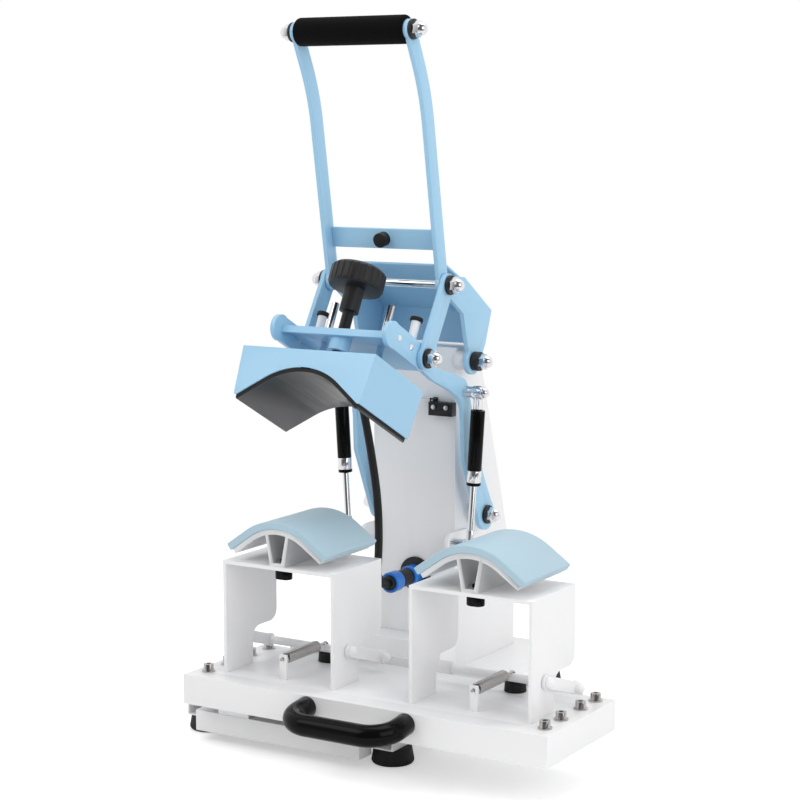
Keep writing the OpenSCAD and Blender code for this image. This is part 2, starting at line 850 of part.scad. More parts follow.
module pads() color([0.66, 0.78, 0.84]) machine() at_stations()
    translate([0, 0, pad_centre_z]) xz(station_mid_y - pad_d / 2, pad_d)
        arch(pad_r - pad_t, pad_r, pad_flank);

// Cap bail: two arms on the pedestal's studs and a bar behind, which a spring pulls down on a bumper
bail_bar_d = 10;
bail_bar = bail_pivot + [69, -22];
bail_w = 14;
module cap_bail() {
    mirrored() {
        difference() {
            yz(bail_x, bail_t) {
                ribbon([bail_pivot, bail_bar], -bail_w / 2, bail_w / 2);
                for (p = [bail_pivot, bail_bar]) translate(p) circle(d = bail_w + eye_rim);
            }
            x_rod(bail_pivot, bail_x - through, bail_x + bail_t + through, bail_stud_d / 2 + run_fit);
        }
        x_rod(bail_bar, bail_x + bail_t, bail_x + bail_t + 4, bail_w / 2 - 1);
        dome(bail_bar, bail_x + bail_t + 4, bail_w / 2 - 1);
    }
    x_rod(bail_bar, -bail_x, bail_x, bail_bar_d / 2);
}

module cap_bail_left() color(white) machine() cap_bail();
module cap_bail_right() color(white) machine() translate([station_pitch, 0, 0]) cap_bail();

// Spring between a post on the tray and the bail's bar, with a pin at its front and a hook at its back
coil_d = 14;
wire_d = 3;
hook_r = bail_bar_d / 2 + 0.5 + wire_d / 2;
spring_z = bail_bar.y + 0.9 * hook_r;
post_y = station_y + 10;
post_t = 3;
module cap_spring() {
    y_rod(0, spring_z, post_y - 4, bail_bar.x - 0.436 * hook_r, wire_d / 2);
    y_rod(0, spring_z, post_y + post_t + 2, bail_bar.x - 16, coil_d / 2);
    translate([0, post_y - 4, spring_z]) sphere(wire_d);
    translate([0, bail_bar.x, bail_bar.y]) rotate([0, 90, 0])
        rotate(70) rotate_extrude(angle = 140) translate([hook_r, 0]) circle(d = wire_d);
}

module cap_spring_left() color(steel) machine() cap_spring();
module cap_spring_right() color(steel) machine() translate([station_pitch, 0, 0]) cap_spring();

module spring_posts() color(white) machine() at_stations() difference() {
    translate([-5, post_y, tray_top]) cube([10, post_t, spring_z + 5 - tray_top]);
    y_rod(0, spring_z, post_y - through, post_y + post_t + through, wire_d / 2 + 0.6);
}

module bail_bumpers() color(rubber) machine() at_stations()
    translate([0, bail_bar.x + 9, tray_top])
        cylinder(h = bail_bar.y - bail_bar_d / 2 - rub_gap - tray_top, r1 = 13, r2 = 12);

// Oval lock knob under the pedestal's top
lock_h = 12;
module lock_knob() {
    z = pedestal_top - station_wall - rub_gap - lock_h;
    translate([0, lock_y, z]) {
        linear_extrude(lock_h) strap([[-3, 0], [3, 0]], 15);
        cylinder(h = lock_h + station_wall + rub_gap + 8, d = knob_screw_d);
    }
}

module lock_knob_left() color(black) machine() lock_knob();
module lock_knob_right() color(black) machine() translate([station_pitch, 0, 0]) lock_knob();

// Lifting linkage
cheek_l = closed_b.x - carrier_y;
cheek_w = 30;
cheek_end = pivot_b + cheek_l * [-cos(lift_angle), sin(lift_angle)];
arm_front = [[-137, 187], [-94, 170], [-70, 157], [-62, 143], [-59, 120], [-57, 78], [-20, -4]];
arm_back = [[14, 13], [-10, 56], [-42, 150], [-49, 171], [-56, 179], [-80, 188], [-124, 199]];
carrier_screw_r = 4;
module carrier_rods(x0, x1, r) {
    head_open()
        for (y = [15, 45]) x_rod([carrier_y + y, carrier_z + carrier_t / 2], x0, x1, r);
}

module lift_arms() color(blue) machine() mirrored() {
    difference() {
        yz(lift_x, plate_t) {
            polygon(concat(
                [pivot_b + [10, -7], pivot_b + [-5, -12]],
                [for (p = arm_front) pivot_d + p],
                [for (p = arm_back) pivot_d + p]
            ));
            translate(pivot_d) circle(d = arm_eye);
            ribbon([pivot_b, cheek_end], -cheek_w / 2, cheek_w / 2);
            for (p = [pivot_b, cheek_end]) translate(p) circle(d = cheek_w + eye_rim);
        }
        x_rod(pivot_d, lift_x - through, lift_x + plate_t + through, pin_r + run_fit);
        carrier_rods(lift_x - through, lift_x + plate_t + through, carrier_screw_r + seat_fit);
    }
    x_rod(pivot_b, lift_x + plate_t, link_x - rub_gap, washer_d / 2);
    stud(strut_top, lift_x + plate_t, strut_x);
}

module carrier() color(blue) machine() head_open() difference() {
    union() {
        translate([-lift_x, carrier_y, carrier_z])
            cube([2 * lift_x, carrier_back - carrier_y, carrier_t]);
        translate([-lift_x, carrier_y, carrier_z + carrier_t - carrier_lip])
            cube([2 * lift_x, carrier_t, carrier_lip]);
        translate([0, head_y, carrier_z - nut_boss_h + carrier_t])
            cylinder(h = nut_boss_h, d = nut_boss_d);
    }
    translate([0, head_y, carrier_z - nut_boss_h]) cylinder(h = 2 * nut_boss_h, d = screw_d + 2 * run_fit);
    for (side = [-1, 1])
        translate([side * pin_x, pin_y, carrier_z - through])
            cylinder(h = carrier_t + 2 * through, d = guide_d + 2 * run_fit);
}

module carrier_screws() color(steel) machine() mirrored()
    carrier_rods(lift_x, lift_x + plate_t + rub_gap, carrier_screw_r);

module bumper_posts() color(white) machine() head_open() mirrored()
    translate([rest_x, rest_y, carrier_z + carrier_t]) {
        cylinder(h = 38, d = 11);
        translate([0, 0, 38]) cylinder(h = 5, d = 16);
    }

// Gas struts, each in two halves: lengths run from the stud along the leaning strut
strut_lean = atan(strut_in / strut_l);
neck_l = 22;
tube_l = 76;
collar_l = 15;
seal_l = 4;
rod_in = 38;
strut_bore = rod_d / 2 + 2.4;
module strut_place(x, at) {
    translate([x, at.x, at.y]) rotate([0, strut_lean, 0]) children();
}

module sleeve(from, l) {
    translate([0, 0, -from - l]) difference() {
        cylinder(h = l, d = tube_d);
        translate([0, 0, -through]) cylinder(h = l + 2 * through, r = strut_bore);
    }
}

module socket_eye(x, at) {
    difference() {
        x_rod(at, x - socket_w / 2, x + socket_w / 2, socket_r);
        x_rod(at, x - socket_w, x + socket_w, stud_r + run_fit);
    }
}

module strut_tubes() color(black) machine() mirrored() strut_place(strut_x, strut_top) {
    sleeve(neck_l + 5, tube_l - 5);
    translate([0, 0, -neck_l - 5]) cylinder(h = 5, d = tube_d);
    sleeve(neck_l + tube_l + collar_l, seal_l);
}

module strut_collars() color(steel) machine() mirrored() {
    socket_eye(strut_x, strut_top);
    difference() {
        strut_place(strut_x, strut_top) translate([0, 0, -neck_l]) cylinder(h = neck_l - 5, d = 12);
        x_rod(strut_top, 0, 2 * strut_x, socket_r - 0.5);
    }
    strut_place(strut_x, strut_top) sleeve(neck_l + tube_l, collar_l);
}

module strut_rods() color(steel) machine() mirrored() {
    rod_l = strut_l / cos(strut_lean) - neck_l - tube_l - collar_l + rod_in;
    socket_eye(foot_x, strut_foot);
    difference() {
        strut_place(foot_x, strut_foot) {
            cylinder(h = rod_l, d = rod_d);
            cylinder(h = 20, d = 11);
        }
        x_rod(strut_foot, 0, 2 * strut_x, socket_r - 0.5);
    }
}

// Handle and crank
bend_start = (sin(lean_high) * (grip_up - bend_r * (sin(lean_high) - sin(lean_low)))
    - cos(lean_high) * (grip_out - bend_r * (cos(lean_low) - cos(lean_high)))) / sin(lean_high - lean_low);
bend_steps = 12;
module bent_strap() {
    bend = [for (k = [0 : bend_steps]) let (a = (lean_high - lean_low) * k / bend_steps)
        [bend_r * (cos(a) - 1), bend_start + bend_r * sin(a)]];
    translate(pivot_a) circle(d = strap_w);
    translate(grip_at) circle(d = strap_w + 4);
    translate(pivot_a) rotate(lean_low)
        ribbon(concat([[0, 0]], bend, [turned(grip_at - pivot_a, -lean_low)]), -strap_w / 2, strap_w / 2);
}

eye_rim = 2;
crank_eye = 17;
crank_top = pivot_a + [51, 6];
crank_back = pivot_c + [46, 60];
crank_low = pivot_c + [30, 18];
crank_in_top = pivot_a + [12, -15];
crank_in_mid = pivot_c + [-26, 61];
crank_in_low = pivot_c + [-15, 20];
module crank_cheek() {
    translate(pivot_a) circle(d = link_w);
    translate(pivot_c) circle(crank_eye);
    polygon([
        pivot_a + [-2, link_w / 2], crank_top, crank_back, crank_low, pivot_c + [crank_eye - 3, -6],
        pivot_c, crank_in_low, crank_in_mid, crank_in_top, pivot_a
    ]);
}

module handle_arms() color(blue) machine() mirrored() difference() {
    yz(crank_x, plate_t) {
        bent_strap();
        crank_cheek();
    }
    x_rod(pivot_c, crank_x - through, crank_x + plate_t + through, pin_r + run_fit);
    for (p = [pivot_a, grip_at]) x_rod(p, crank_x - through, crank_x + plate_t + through, pin_r + seat_fit);
}

// Bent sheet between the two crank cheeks
module crank_hood() color(blue) machine() yz(-crank_x, 2 * crank_x)
    ribbon([pivot_a + [16, 24], crank_top, crank_back, crank_low], -sheet, 0);

module crank_shaft() color(steel) machine() {
    toggle_end = toggle_nut_x + nut_thread;
    grip_end = grip_nut_x + nut_thread;
    x_rod(pivot_a, -toggle_end, toggle_end, pin_r);
    x_rod(grip_at, -grip_end, grip_end, pin_r);
}

module crank_washers() color(black) machine() mirrored() {
    washer(pivot_a, toggle_nut_x - washer_t, washer_t);
    washer(grip_at, grip_nut_x - washer_t, washer_t);
}

module crank_nuts() color(steel) machine() mirrored() {
    acorn_nut(pivot_a, toggle_nut_x);
    acorn_nut(grip_at, grip_nut_x);
}

module grip() color(rubber) machine() difference() {
    x_rod(grip_at, -crank_x, crank_x, grip_d / 2);
    x_rod(grip_at, -crank_x - through, crank_x + through, pin_r + seat_fit);
}

bumper_d = 18;
bumper_l = 12;
crossbar_t = 4;
crossbar_in = strap_w / 2 - crossbar_t - 2;
crossbar_up = 54;
crossbar_at = pivot_a + crossbar_up * [-sin(lean_low), cos(lean_low)];
module crossbar() color(blue) machine()
    translate([0, crossbar_at.x, crossbar_at.y]) rotate([lean_low, 0, 0]) {
        translate([-crank_x, crossbar_in, -crossbar_h / 2]) cube([2 * crank_x, crossbar_t, crossbar_h]);
        translate([0, crossbar_in, 0]) rotate([90, 0, 0]) cylinder(h = bumper_l, d = bumper_d);
    }

module toggle_links() color(blue) machine() mirrored() {
    difference() {
        yz(link_x, plate_t) {
            ribbon([pivot_a, pivot_b], -link_w / 2, link_w / 2);
            for (p = [pivot_a, pivot_b]) translate(p) circle(d = link_w + eye_rim);
        }
        x_rod(pivot_a, link_x - through, link_x + plate_t + through, pin_r + run_fit);
        x_rod(pivot_b, link_x - through, link_x + plate_t + through, pin_r + seat_fit);
    }
}

module link_washers() color(black) machine() mirrored()
    washer(pivot_b, link_nut_x - washer_t, washer_t);

module link_nuts() color(steel) machine() mirrored() {
    x_rod(pivot_b, link_x, link_nut_x + nut_thread, pin_r);
    acorn_nut(pivot_b, link_nut_x);
}

// Heating head
module shield_outline(in) {
    polygon([
        [-shield_x + in, shield_foot - in], [shield_x - in, shield_foot - in],
        [shield_x + shield_splay - in, shield_top - in], [-shield_x - shield_splay + in, shield_top - in]
    ]);
}

module heat_shield() color(blue) machine() head_open() {
    y = head_y - shield_d / 2;
    difference() {
        xz(y, shield_d) shield_outline(0);
        xz(y + shield_t, shield_d - 2 * shield_t) shield_outline(shield_t);
        translate([0, 0, pad_centre_z])
            xz(y - through, shield_d + 2 * through) under_arch(heater_r + seal_t, heater_flank + 4);
        y_rod(cable_x, gland_z, y + shield_d - 2 * shield_t, y + shield_d + through, cable_d / 2);
    }
    translate([-50, head_y - 32, shield_top]) cube([100, 64, pressure_t]);
    for (side = [-1, 1])
        translate([side * pin_x, pin_y, shield_top + pressure_t])
            cylinder(h = pin_top - shield_top - pressure_t, d = guide_d);
    y_rod(cable_x, gland_z, y + shield_d, y + shield_d + gland_l, gland_d / 2);
}

module heating_plate() color([0.25, 0.25, 0.26]) machine() head_open() {
    plate_d = shield_d - 2 * shield_t;
    half = shield_x - shield_t - 0.5;
    translate([0, 0, pad_centre_z]) xz(head_y - plate_d / 2, plate_d) intersection() {
        arch(heater_r, heater_r + heat_t, heater_flank);
        translate([-half, 0]) square([2 * half, heater_r + 2 * heat_t]);
    }
}

// Pressure screw with its ribbed knob
ribs = 24;
hub_d = 24;
hub_l = 30;
module pressure_screw() color(black) machine() head_open() translate([0, head_y, 0]) {
    knob_r = knob_d / 2;
    foot = shield_top + pressure_t + rub_gap;
    translate([0, 0, foot]) cylinder(h = knob_z - foot, d = screw_d);
    translate([0, 0, knob_z - hub_l]) cylinder(h = hub_l, d = hub_d);
    translate([0, 0, knob_z]) difference() {
        rotate_extrude() polygon([
            [0, 0], [knob_r - 2, 0], [knob_r, 3], [knob_r, knob_h - 4], [knob_r - 4, knob_h],
            [knob_r / 2, knob_h], [knob_r / 2 - 3, knob_h - 3], [0, knob_h - 3]
        ]);
        for (i = [0 : ribs - 1])
            rotate(i * 360 / ribs) translate([knob_r + 1.2, 0, -through])
                cylinder(h = knob_h + 2 * through, r = 2.4);
    }
}

base_pan();
foot_bars();
rubber_feet();
wiring_cover();
column();
controller();
controller_window();
keypad();
mains_inlet();
power_switch();
power_rocker();
pivot_shafts();
pivot_bushes();
pivot_washers();
pivot_nuts();
limit_switch();
switch_screws();
switch_lever();
heater_socket();
plug_rings();
plug_body();
heater_cable();
bearing_blocks();
strut_brackets();
tray();
tray_screws();
shaft_supports();
guide_shafts();
pull_handle();
pedestals();
platens();
pads();
spring_posts();
bail_bumpers();
cap_bail_left();
cap_bail_right();
cap_spring_left();
cap_spring_right();
lock_knob_left();
lock_knob_right();
lift_arms();
carrier();
carrier_screws();
bumper_posts();
strut_tubes();
strut_collars();
strut_rods();
handle_arms();
crank_hood();
crank_shaft();
crank_washers();
crank_nuts();
grip();
crossbar();
toggle_links();
link_washers();
link_nuts();
heat_shield();
heating_plate();
pressure_screw();
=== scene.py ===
"""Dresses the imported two-station cap heat press for its studio picture."""

from __future__ import annotations

import logging
import math
from dataclasses import dataclass
from enum import Enum
from typing import Any, ClassVar

import bmesh
import bpy
from mathutils import Matrix, Vector

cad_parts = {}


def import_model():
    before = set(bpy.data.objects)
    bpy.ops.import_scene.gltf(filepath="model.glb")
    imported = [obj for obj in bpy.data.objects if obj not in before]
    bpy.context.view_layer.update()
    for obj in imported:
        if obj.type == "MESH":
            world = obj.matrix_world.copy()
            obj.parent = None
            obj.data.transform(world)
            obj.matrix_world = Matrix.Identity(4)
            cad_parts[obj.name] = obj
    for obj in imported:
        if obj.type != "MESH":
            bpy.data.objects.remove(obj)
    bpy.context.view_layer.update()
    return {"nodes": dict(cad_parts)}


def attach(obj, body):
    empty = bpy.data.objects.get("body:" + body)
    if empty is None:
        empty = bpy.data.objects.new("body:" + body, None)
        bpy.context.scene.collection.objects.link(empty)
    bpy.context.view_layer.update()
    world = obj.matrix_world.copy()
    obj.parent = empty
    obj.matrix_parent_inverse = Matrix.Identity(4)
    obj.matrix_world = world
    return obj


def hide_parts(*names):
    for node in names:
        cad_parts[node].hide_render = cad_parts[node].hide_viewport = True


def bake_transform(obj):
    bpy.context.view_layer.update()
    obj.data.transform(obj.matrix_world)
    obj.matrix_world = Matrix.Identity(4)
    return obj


LOG = logging.getLogger("cap_press")
MM = 0.001

# Origin of the part's frame, in the machine's own millimetres.
ORIGIN_X = 106.0
ORIGIN_Y = 235.0
# Tilt of the open head in degrees.
HEAD_TILT = 27.3736
# Direction across the press.
ACROSS = Vector((1.0, 0.0, 0.0))
# Radius that holds a strut's stud, in millimetres.
STUD_RADIUS = 7.4
# Corners nearer than this are one, in metres.
MERGE_DISTANCE = 2e-6
# Faces that meet flatter than this are one.
FLAT_ANGLE = math.radians(0.05)
# Edges sharper than this are rounded.
SHARP_ANGLE = math.radians(32.0)

Colour = tuple[float, float, float]
Point = tuple[float, float, float]
Tree = bpy.types.NodeTree
Socket = bpy.types.NodeSocket


def place(x: float, y: float, z: float) -> Vector:
    """Moves a point from the machine's own measures to the part's frame.

    Args:
        x: Millimetres to the right of the column's middle plane.
        y: Millimetres behind the tray's front edge.
        z: Millimetres above the floor.

    Returns:
        The point in metres.
    """
    return Vector(((x - ORIGIN_X) * MM, (y - ORIGIN_Y) * MM, z * MM))


def head_axes() -> tuple[Vector, Vector]:
    """Returns the open head's upward and backward directions."""
    tilt = math.radians(HEAD_TILT)
    return Vector((0.0, math.sin(tilt), math.cos(tilt))), Vector((0.0, math.cos(tilt), -math.sin(tilt)))


def add_object(name: str, data: bpy.types.ID) -> bpy.types.Object:
    """Makes an object in the scene, at the origin.

    Args:
        name: Name of the object.
        data: Its mesh, curve, lamp or camera.

    Returns:
        The object.
    """
    made = bpy.data.objects.new(name, data)
    bpy.context.scene.collection.objects.link(made)
    return made


def node_of(tree: Tree, kind: str) -> bpy.types.Node:
    """Returns the first node of a type in a tree."""
    return next(node for node in tree.nodes if node.type == kind)


def set_inputs(node: bpy.types.Node, values: dict[str, Any]) -> None:
    """Sets inputs of a node by name."""
    for label, value in values.items():
        node.inputs[label].default_value = value


def feed(tree: Tree, value: Socket | float, socket: Socket) -> None:
    """Gives a socket a number, or the value of another socket.

    Args:
        tree: Tree that holds the sockets.
        value: The number, or the other socket.
        socket: Socket that takes it.
    """
    if isinstance(value, (int, float)):
        socket.default_value = value
    else:
        tree.links.new(value, socket)


class Texture(Enum):
    """The small-scale surface that a finish shows."""

    POWDER = "powder"
    BRUSHED = "brushed"
    POLISHED = "polished"
    MOULDED = "moulded"
    SILICONE = "silicone"
    FOAM = "foam"
    THREAD = "thread"


class EffectGroups:
    """Shader node groups that several finishes share, each built once."""

    built: ClassVar[dict[str, Tree]] = {}

    @classmethod
    def get(cls, name: str) -> Tree:
        """Returns a shared group and builds it on first use.

        Args:
            name: One of "coat_grain", "brushed_lines", "foam_cells", "thread_turns_and_painted_shade" and "settled_dust".

        Returns:
            The group's node tree.
        """
        if name not in cls.built:
            cls.built[name] = getattr(cls, f"_{name}")()
        return cls.built[name]

    @staticmethod
    def _start(name: str, inputs: dict[str, str], outputs: dict[str, str]) -> tuple[Tree, Any, Any]:
        """Makes an empty group with its sockets.

        Args:
            name: Name of the group.
            inputs: Kind of each input by its name.
            outputs: Kind of each output by its name.

        Returns:
            The tree, the sockets given to it and the sockets that it puts out.
        """
        tree = bpy.data.node_groups.new(name, "ShaderNodeTree")
        for way, sockets in (("INPUT", inputs), ("OUTPUT", outputs)):
            for label, kind in sockets.items():
                tree.interface.new_socket(name=label, in_out=way, socket_type=f"NodeSocket{kind}")
        return tree, tree.nodes.new("NodeGroupInput").outputs, tree.nodes.new("NodeGroupOutput").inputs

    @classmethod
    def _start_surface(cls, name: str, pattern: str, kind: str) -> tuple[Tree, Any, Any]:
        """Makes an empty group with the sockets that every surface has.

        Args:
            name: Name of the group.
            pattern: Name of the input that sizes its pattern.
            kind: Kind of that input.

        Returns:
            The tree, the sockets given to it and the sockets that it puts out.
        """
        inputs = {"Vector": "Vector", "Color": "Color", pattern: kind}
        inputs |= {"Tone": "Float", "Roughness": "Float", "Spread": "Float"}
        return cls._start(name, inputs, {"Color": "Color", "Roughness": "Float", "Height": "Float"})

    @classmethod
    def _end_surface(cls, tree: Tree, given: Any, out: Any, tone: Socket, wear: Socket, height: Socket) -> Tree:
        """Shades the colour, varies the roughness and passes the height on.

        Args:
            tree: Tree of the group.
            given: Sockets given to it.
            out: Sockets that it puts out.
            tone: Value that the colour follows.
            wear: Value that the roughness follows.
            height: Height of the surface.

        Returns:
            The finished tree.
        """
        shade = tree.nodes.new("ShaderNodeVectorMath")
        shade.operation = "SCALE"
        factor = cls._math(tree, "ADD", cls._swing(tree, tone, given["Tone"]), 1.0)
        tree.links.new(given["Color"], shade.inputs[0])
        tree.links.new(factor, shade.inputs["Scale"])
        tree.links.new(shade.outputs[0], out["Color"])
        rough = cls._math(tree, "ADD", given["Roughness"], cls._swing(tree, wear, given["Spread"]))
        tree.links.new(rough, out["Roughness"])
        tree.links.new(height, out["Height"])
        return tree

    @staticmethod
    def _noise(tree: Tree, vector: Socket, scale: Socket | float, detail: float) -> Socket:
        """Adds a noise texture.

        Args:
            tree: Tree to add to.
            vector: Socket that gives the coordinates.
            scale: A number, or a socket that gives the scale.
            detail: Octaves of the noise.

        Returns:
            The noise's value socket.
        """
        noise = tree.nodes.new("ShaderNodeTexNoise")
        noise.inputs["Detail"].default_value = detail
        tree.links.new(vector, noise.inputs["Vector"])
        feed(tree, scale, noise.inputs["Scale"])
        return noise.outputs["Fac"]

    @staticmethod
    def _math(tree: Tree, operation: str, a: Socket | float, b: Socket | float) -> Socket:
        """Adds a math node.

        Args:
            tree: Tree to add to.
            operation: Blender's name of the operation.
            a: First socket or number.
            b: Second socket or number.

        Returns:
            The result's socket.
        """
        node = tree.nodes.new("ShaderNodeMath")
        node.operation = operation
        feed(tree, a, node.inputs[0])
        feed(tree, b, node.inputs[1])
        return node.outputs[0]

    @classmethod
    def _swing(cls, tree: Tree, value: Socket, amount: Socket) -> Socket:
        """Scales how far a value lies from one half."""
        return cls._math(tree, "MULTIPLY", cls._math(tree, "SUBTRACT", value, 0.5), amount)

    @staticmethod
    def _vectors(tree: Tree, operation: str, a: Socket, b: Socket) -> Any:
        """Adds a vector math node.

        Args:
            tree: Tree to add to.
            operation: Blender's name of the operation.
            a: First socket.
            b: Second socket.

        Returns:
            The node's output sockets.
        """
        node = tree.nodes.new("ShaderNodeVectorMath")
        node.operation = operation
        tree.links.new(a, node.inputs[0])
        tree.links.new(b, node.inputs[1])
        return node.outputs

    @classmethod
    def _coat_grain(cls) -> Tree:
        """Builds the fine orange peel of a coat or moulding, with slow changes of tone.

        Returns:
            The group's node tree.
        """
        tree, given, out = cls._start_surface("coat_grain", "Scale", "Float")
        slow = cls._noise(tree, given["Vector"], scale=9.0, detail=3.0)
        smudge = cls._noise(tree, given["Vector"], scale=34.0, detail=4.0)
        fine = cls._noise(tree, given["Vector"], scale=given["Scale"], detail=2.0)
        return cls._end_surface(tree, given, out, slow, smudge, fine)

    @classmethod
    def _brushed_lines(cls) -> Tree:
        """Builds the fine lines of ground, turned or extruded metal along one axis.

        Returns:
            The group's node tree.
        """
        tree, given, out = cls._start_surface("brushed_lines", "Stretch", "Vector")
        stretched = cls._vectors(tree, "MULTIPLY", given["Vector"], given["Stretch"])
        lines = cls._noise(tree, stretched["Vector"], scale=1.0, detail=2.0)
        return cls._end_surface(tree, given, out, lines, lines, lines)

    @classmethod
    def _foam_cells(cls) -> Tree:
        """Builds the small closed cells of a foam sleeve.

        Returns:
            The group's node tree.
        """
        tree, given, out = cls._start_surface("foam_cells", "Scale", "Float")
        cells = tree.nodes.new("ShaderNodeTexVoronoi")
        tree.links.new(given["Vector"], cells.inputs["Vector"])
        tree.links.new(given["Scale"], cells.inputs["Scale"])
        blotch = cls._noise(tree, given["Vector"], scale=60.0, detail=3.0)
        return cls._end_surface(tree, given, out, blotch, blotch, cells.outputs["Distance"])

    @classmethod
    def _thread_turns_and_painted_shade(cls) -> Tree:
        """Builds the close turns of a screw thread along one axis, with painted shade in the grooves and a
        painted highlight on the crests.

        Returns:
            The group's node tree.
        """
        tree, given, out = cls._start_surface("thread_turns_and_painted_shade", "Stretch", "Vector")
        along = cls._vectors(tree, "DOT_PRODUCT", given["Vector"], given["Stretch"])
        flank = cls._math(tree, "PINGPONG", along["Value"], 0.5)
        height = cls._math(tree, "MULTIPLY", flank, 2.0)
        wear = cls._noise(tree, given["Vector"], scale=120.0, detail=3.0)
        # The thread's height also sets the colour: painted shade in the grooves and a painted highlight on the
        # crests.
        return cls._end_surface(tree, given, out, height, wear, height)

    @classmethod
    def _settled_dust(cls) -> Tree:
        """Builds a faint pale film on faces that look up, in patches.

        Returns:
            The group's node tree.
        """
        inputs = {"Vector": "Vector", "Color": "Color", "Dust": "Color", "Amount": "Float"}
        tree, given, out = cls._start("settled_dust", inputs, {"Color": "Color"})
        geometry = tree.nodes.new("ShaderNodeNewGeometry")
        split = tree.nodes.new("ShaderNodeSeparateXYZ")
        tree.links.new(geometry.outputs["Normal"], split.inputs[0])
        upward = cls._math(tree, "MAXIMUM", split.outputs["Z"], 0.0)
        patches = cls._noise(tree, given["Vector"], scale=48.0, detail=4.0)
        mask = cls._math(tree, "MULTIPLY", cls._math(tree, "MULTIPLY", upward, patches), given["Amount"])
        mix = tree.nodes.new("ShaderNodeMix")
        mix.data_type = "RGBA"
        tree.links.new(mask, mix.inputs["Factor"])
        # A colour mix has its two colours at inputs 6 and 7 and its result at output 2.
        tree.links.new(given["Color"], mix.inputs[6])
        tree.links.new(given["Dust"], mix.inputs[7])
        tree.links.new(mix.outputs[2], out["Color"])
        return tree


@dataclass(frozen=True)
class Finish:
    """One finish of the press: what its material shows and the record's slot it belongs to.

    Attributes:
        name: Name of the material.
        slot: The record's material slot; not used.
        colour: Linear base colour.
        texture: Its small-scale surface.
        roughness: Mean roughness.
        metallic: 1 for bare metal.
        coat: Weight of a clear gloss coat.
        specular: Level of the mirror reflection.
        tone: Strength of the changes of tone; on a thread, strength of the painted shade in its grooves and the
            painted highlight on its crests.
        spread: How far the roughness swings.
        scale: Scale of the fine grain, per metre.
        depth: Height of the grain in metres.
        stretch: Scale of brushed lines along each axis.
        dust: Strength of the settled dust.
        sheen: Weight of a soft edge sheen.
    """

    name: str
    slot: str
    colour: Colour
    texture: Texture
    roughness: float
    metallic: float = 0.0
    coat: float = 0.0
    specular: float = 0.5
    tone: float = 0.06
    spread: float = 0.1
    scale: float = 900.0
    depth: float = 0.00002
    stretch: Point = (60.0, 1400.0, 1400.0)
    dust: float = 0.0
    sheen: float = 0.0

    COAT_ROUGHNESS: ClassVar[float] = 0.08
    BUMP_STRENGTH: ClassVar[float] = 0.5
    DUST_COLOUR: ClassVar[Colour] = (0.35, 0.34, 0.33)
    GROUPS: ClassVar[dict[Texture, str]] = {
        Texture.POWDER: "coat_grain",
        Texture.MOULDED: "coat_grain",
        Texture.SILICONE: "coat_grain",
        Texture.POLISHED: "brushed_lines",
        Texture.BRUSHED: "brushed_lines",
        Texture.FOAM: "foam_cells",
        Texture.THREAD: "thread_turns_and_painted_shade",
    }

    def material(self) -> bpy.types.Material:
        """Returns the finish's material and builds it on first use."""
        return bpy.data.materials.get(self.name) or self._build()

    def _build(self) -> bpy.types.Material:
        """Builds the material with its node tree.

        Returns:
            The material.
        """
        material = bpy.data.materials.new(self.name)
        material.use_nodes = True
        tree = material.node_tree
        shader = node_of(tree, "BSDF_PRINCIPLED")
        set_inputs(shader, {
            "Metallic": self.metallic,
            "Coat Weight": self.coat,
            "Coat Roughness": self.COAT_ROUGHNESS,
            "Specular IOR Level": self.specular,
            "Sheen Weight": self.sheen,
        })
        where = tree.nodes.new("ShaderNodeTexCoord").outputs["Object"]
        grain = tree.nodes.new("ShaderNodeGroup")
        grain.node_tree = EffectGroups.get(self.GROUPS[self.texture])
        tree.links.new(where, grain.inputs["Vector"])
        set_inputs(grain, {
            "Color": (*self.colour, 1.0),
            "Tone": self.tone,
            "Roughness": self.roughness,
            "Spread": self.spread,
        })
        set_inputs(grain, {"Scale": self.scale} if "Scale" in grain.inputs else {"Stretch": self.stretch})
        colour = grain.outputs["Color"]
        if self.dust:
            film = tree.nodes.new("ShaderNodeGroup")
            film.node_tree = EffectGroups.get("settled_dust")
            set_inputs(film, {"Dust": (*self.DUST_COLOUR, 1.0), "Amount": self.dust})
            tree.links.new(where, film.inputs["Vector"])
            tree.links.new(colour, film.inputs["Color"])
            colour = film.outputs["Color"]
        tree.links.new(colour, shader.inputs["Base Color"])
        tree.links.new(grain.outputs["Roughness"], shader.inputs["Roughness"])
        bump = tree.nodes.new("ShaderNodeBump")
        set_inputs(bump, {"Distance": self.depth, "Strength": self.BUMP_STRENGTH})
        tree.links.new(grain.outputs["Height"], bump.inputs["Height"])
        tree.links.new(bump.outputs["Normal"], shader.inputs["Normal"])
        return material


WHITE_COAT = Finish("white_powder_coat", "white_coat", (0.84, 0.84, 0.848), Texture.POWDER, 0.36, coat=0.15,
                    tone=0.05, scale=1100.0, depth=0.000025)
BLUE_COAT = Finish("light_blue_powder_coat", "blue_coat", (0.333, 0.583, 0.785), Texture.POWDER, 0.38,
                   coat=0.12, tone=0.06, scale=1100.0, depth=0.000025)
ZINC_STEEL = Finish("zinc_plated_steel", "steel", (0.62, 0.61, 0.60), Texture.BRUSHED, 0.3, metallic=1.0,
                    tone=0.15)
BRIGHT_STEEL = Finish("bright_steel", "steel", (0.50, 0.48, 0.47), Texture.POLISHED, 0.16, metallic=1.0,
                      tone=0.12, depth=0.000004)
CHROME = Finish("polished_chrome", "chrome", (0.80, 0.80, 0.82), Texture.POLISHED, 0.1, metallic=1.0, tone=0.05,
                spread=0.08, depth=0.000004)
ALUMINIUM = Finish("extruded_aluminium", "aluminium", (0.78, 0.79, 0.80), Texture.BRUSHED, 0.42, metallic=0.75,
                   tone=0.1, stretch=(1400.0, 50.0, 1400.0))
HOT_PLATE = Finish("dark_plate_coating", "hot_plate", (0.03, 0.03, 0.032), Texture.POWDER, 0.28, specular=0.7,
                   tone=0.1, spread=0.02, scale=700.0, depth=0.000003)
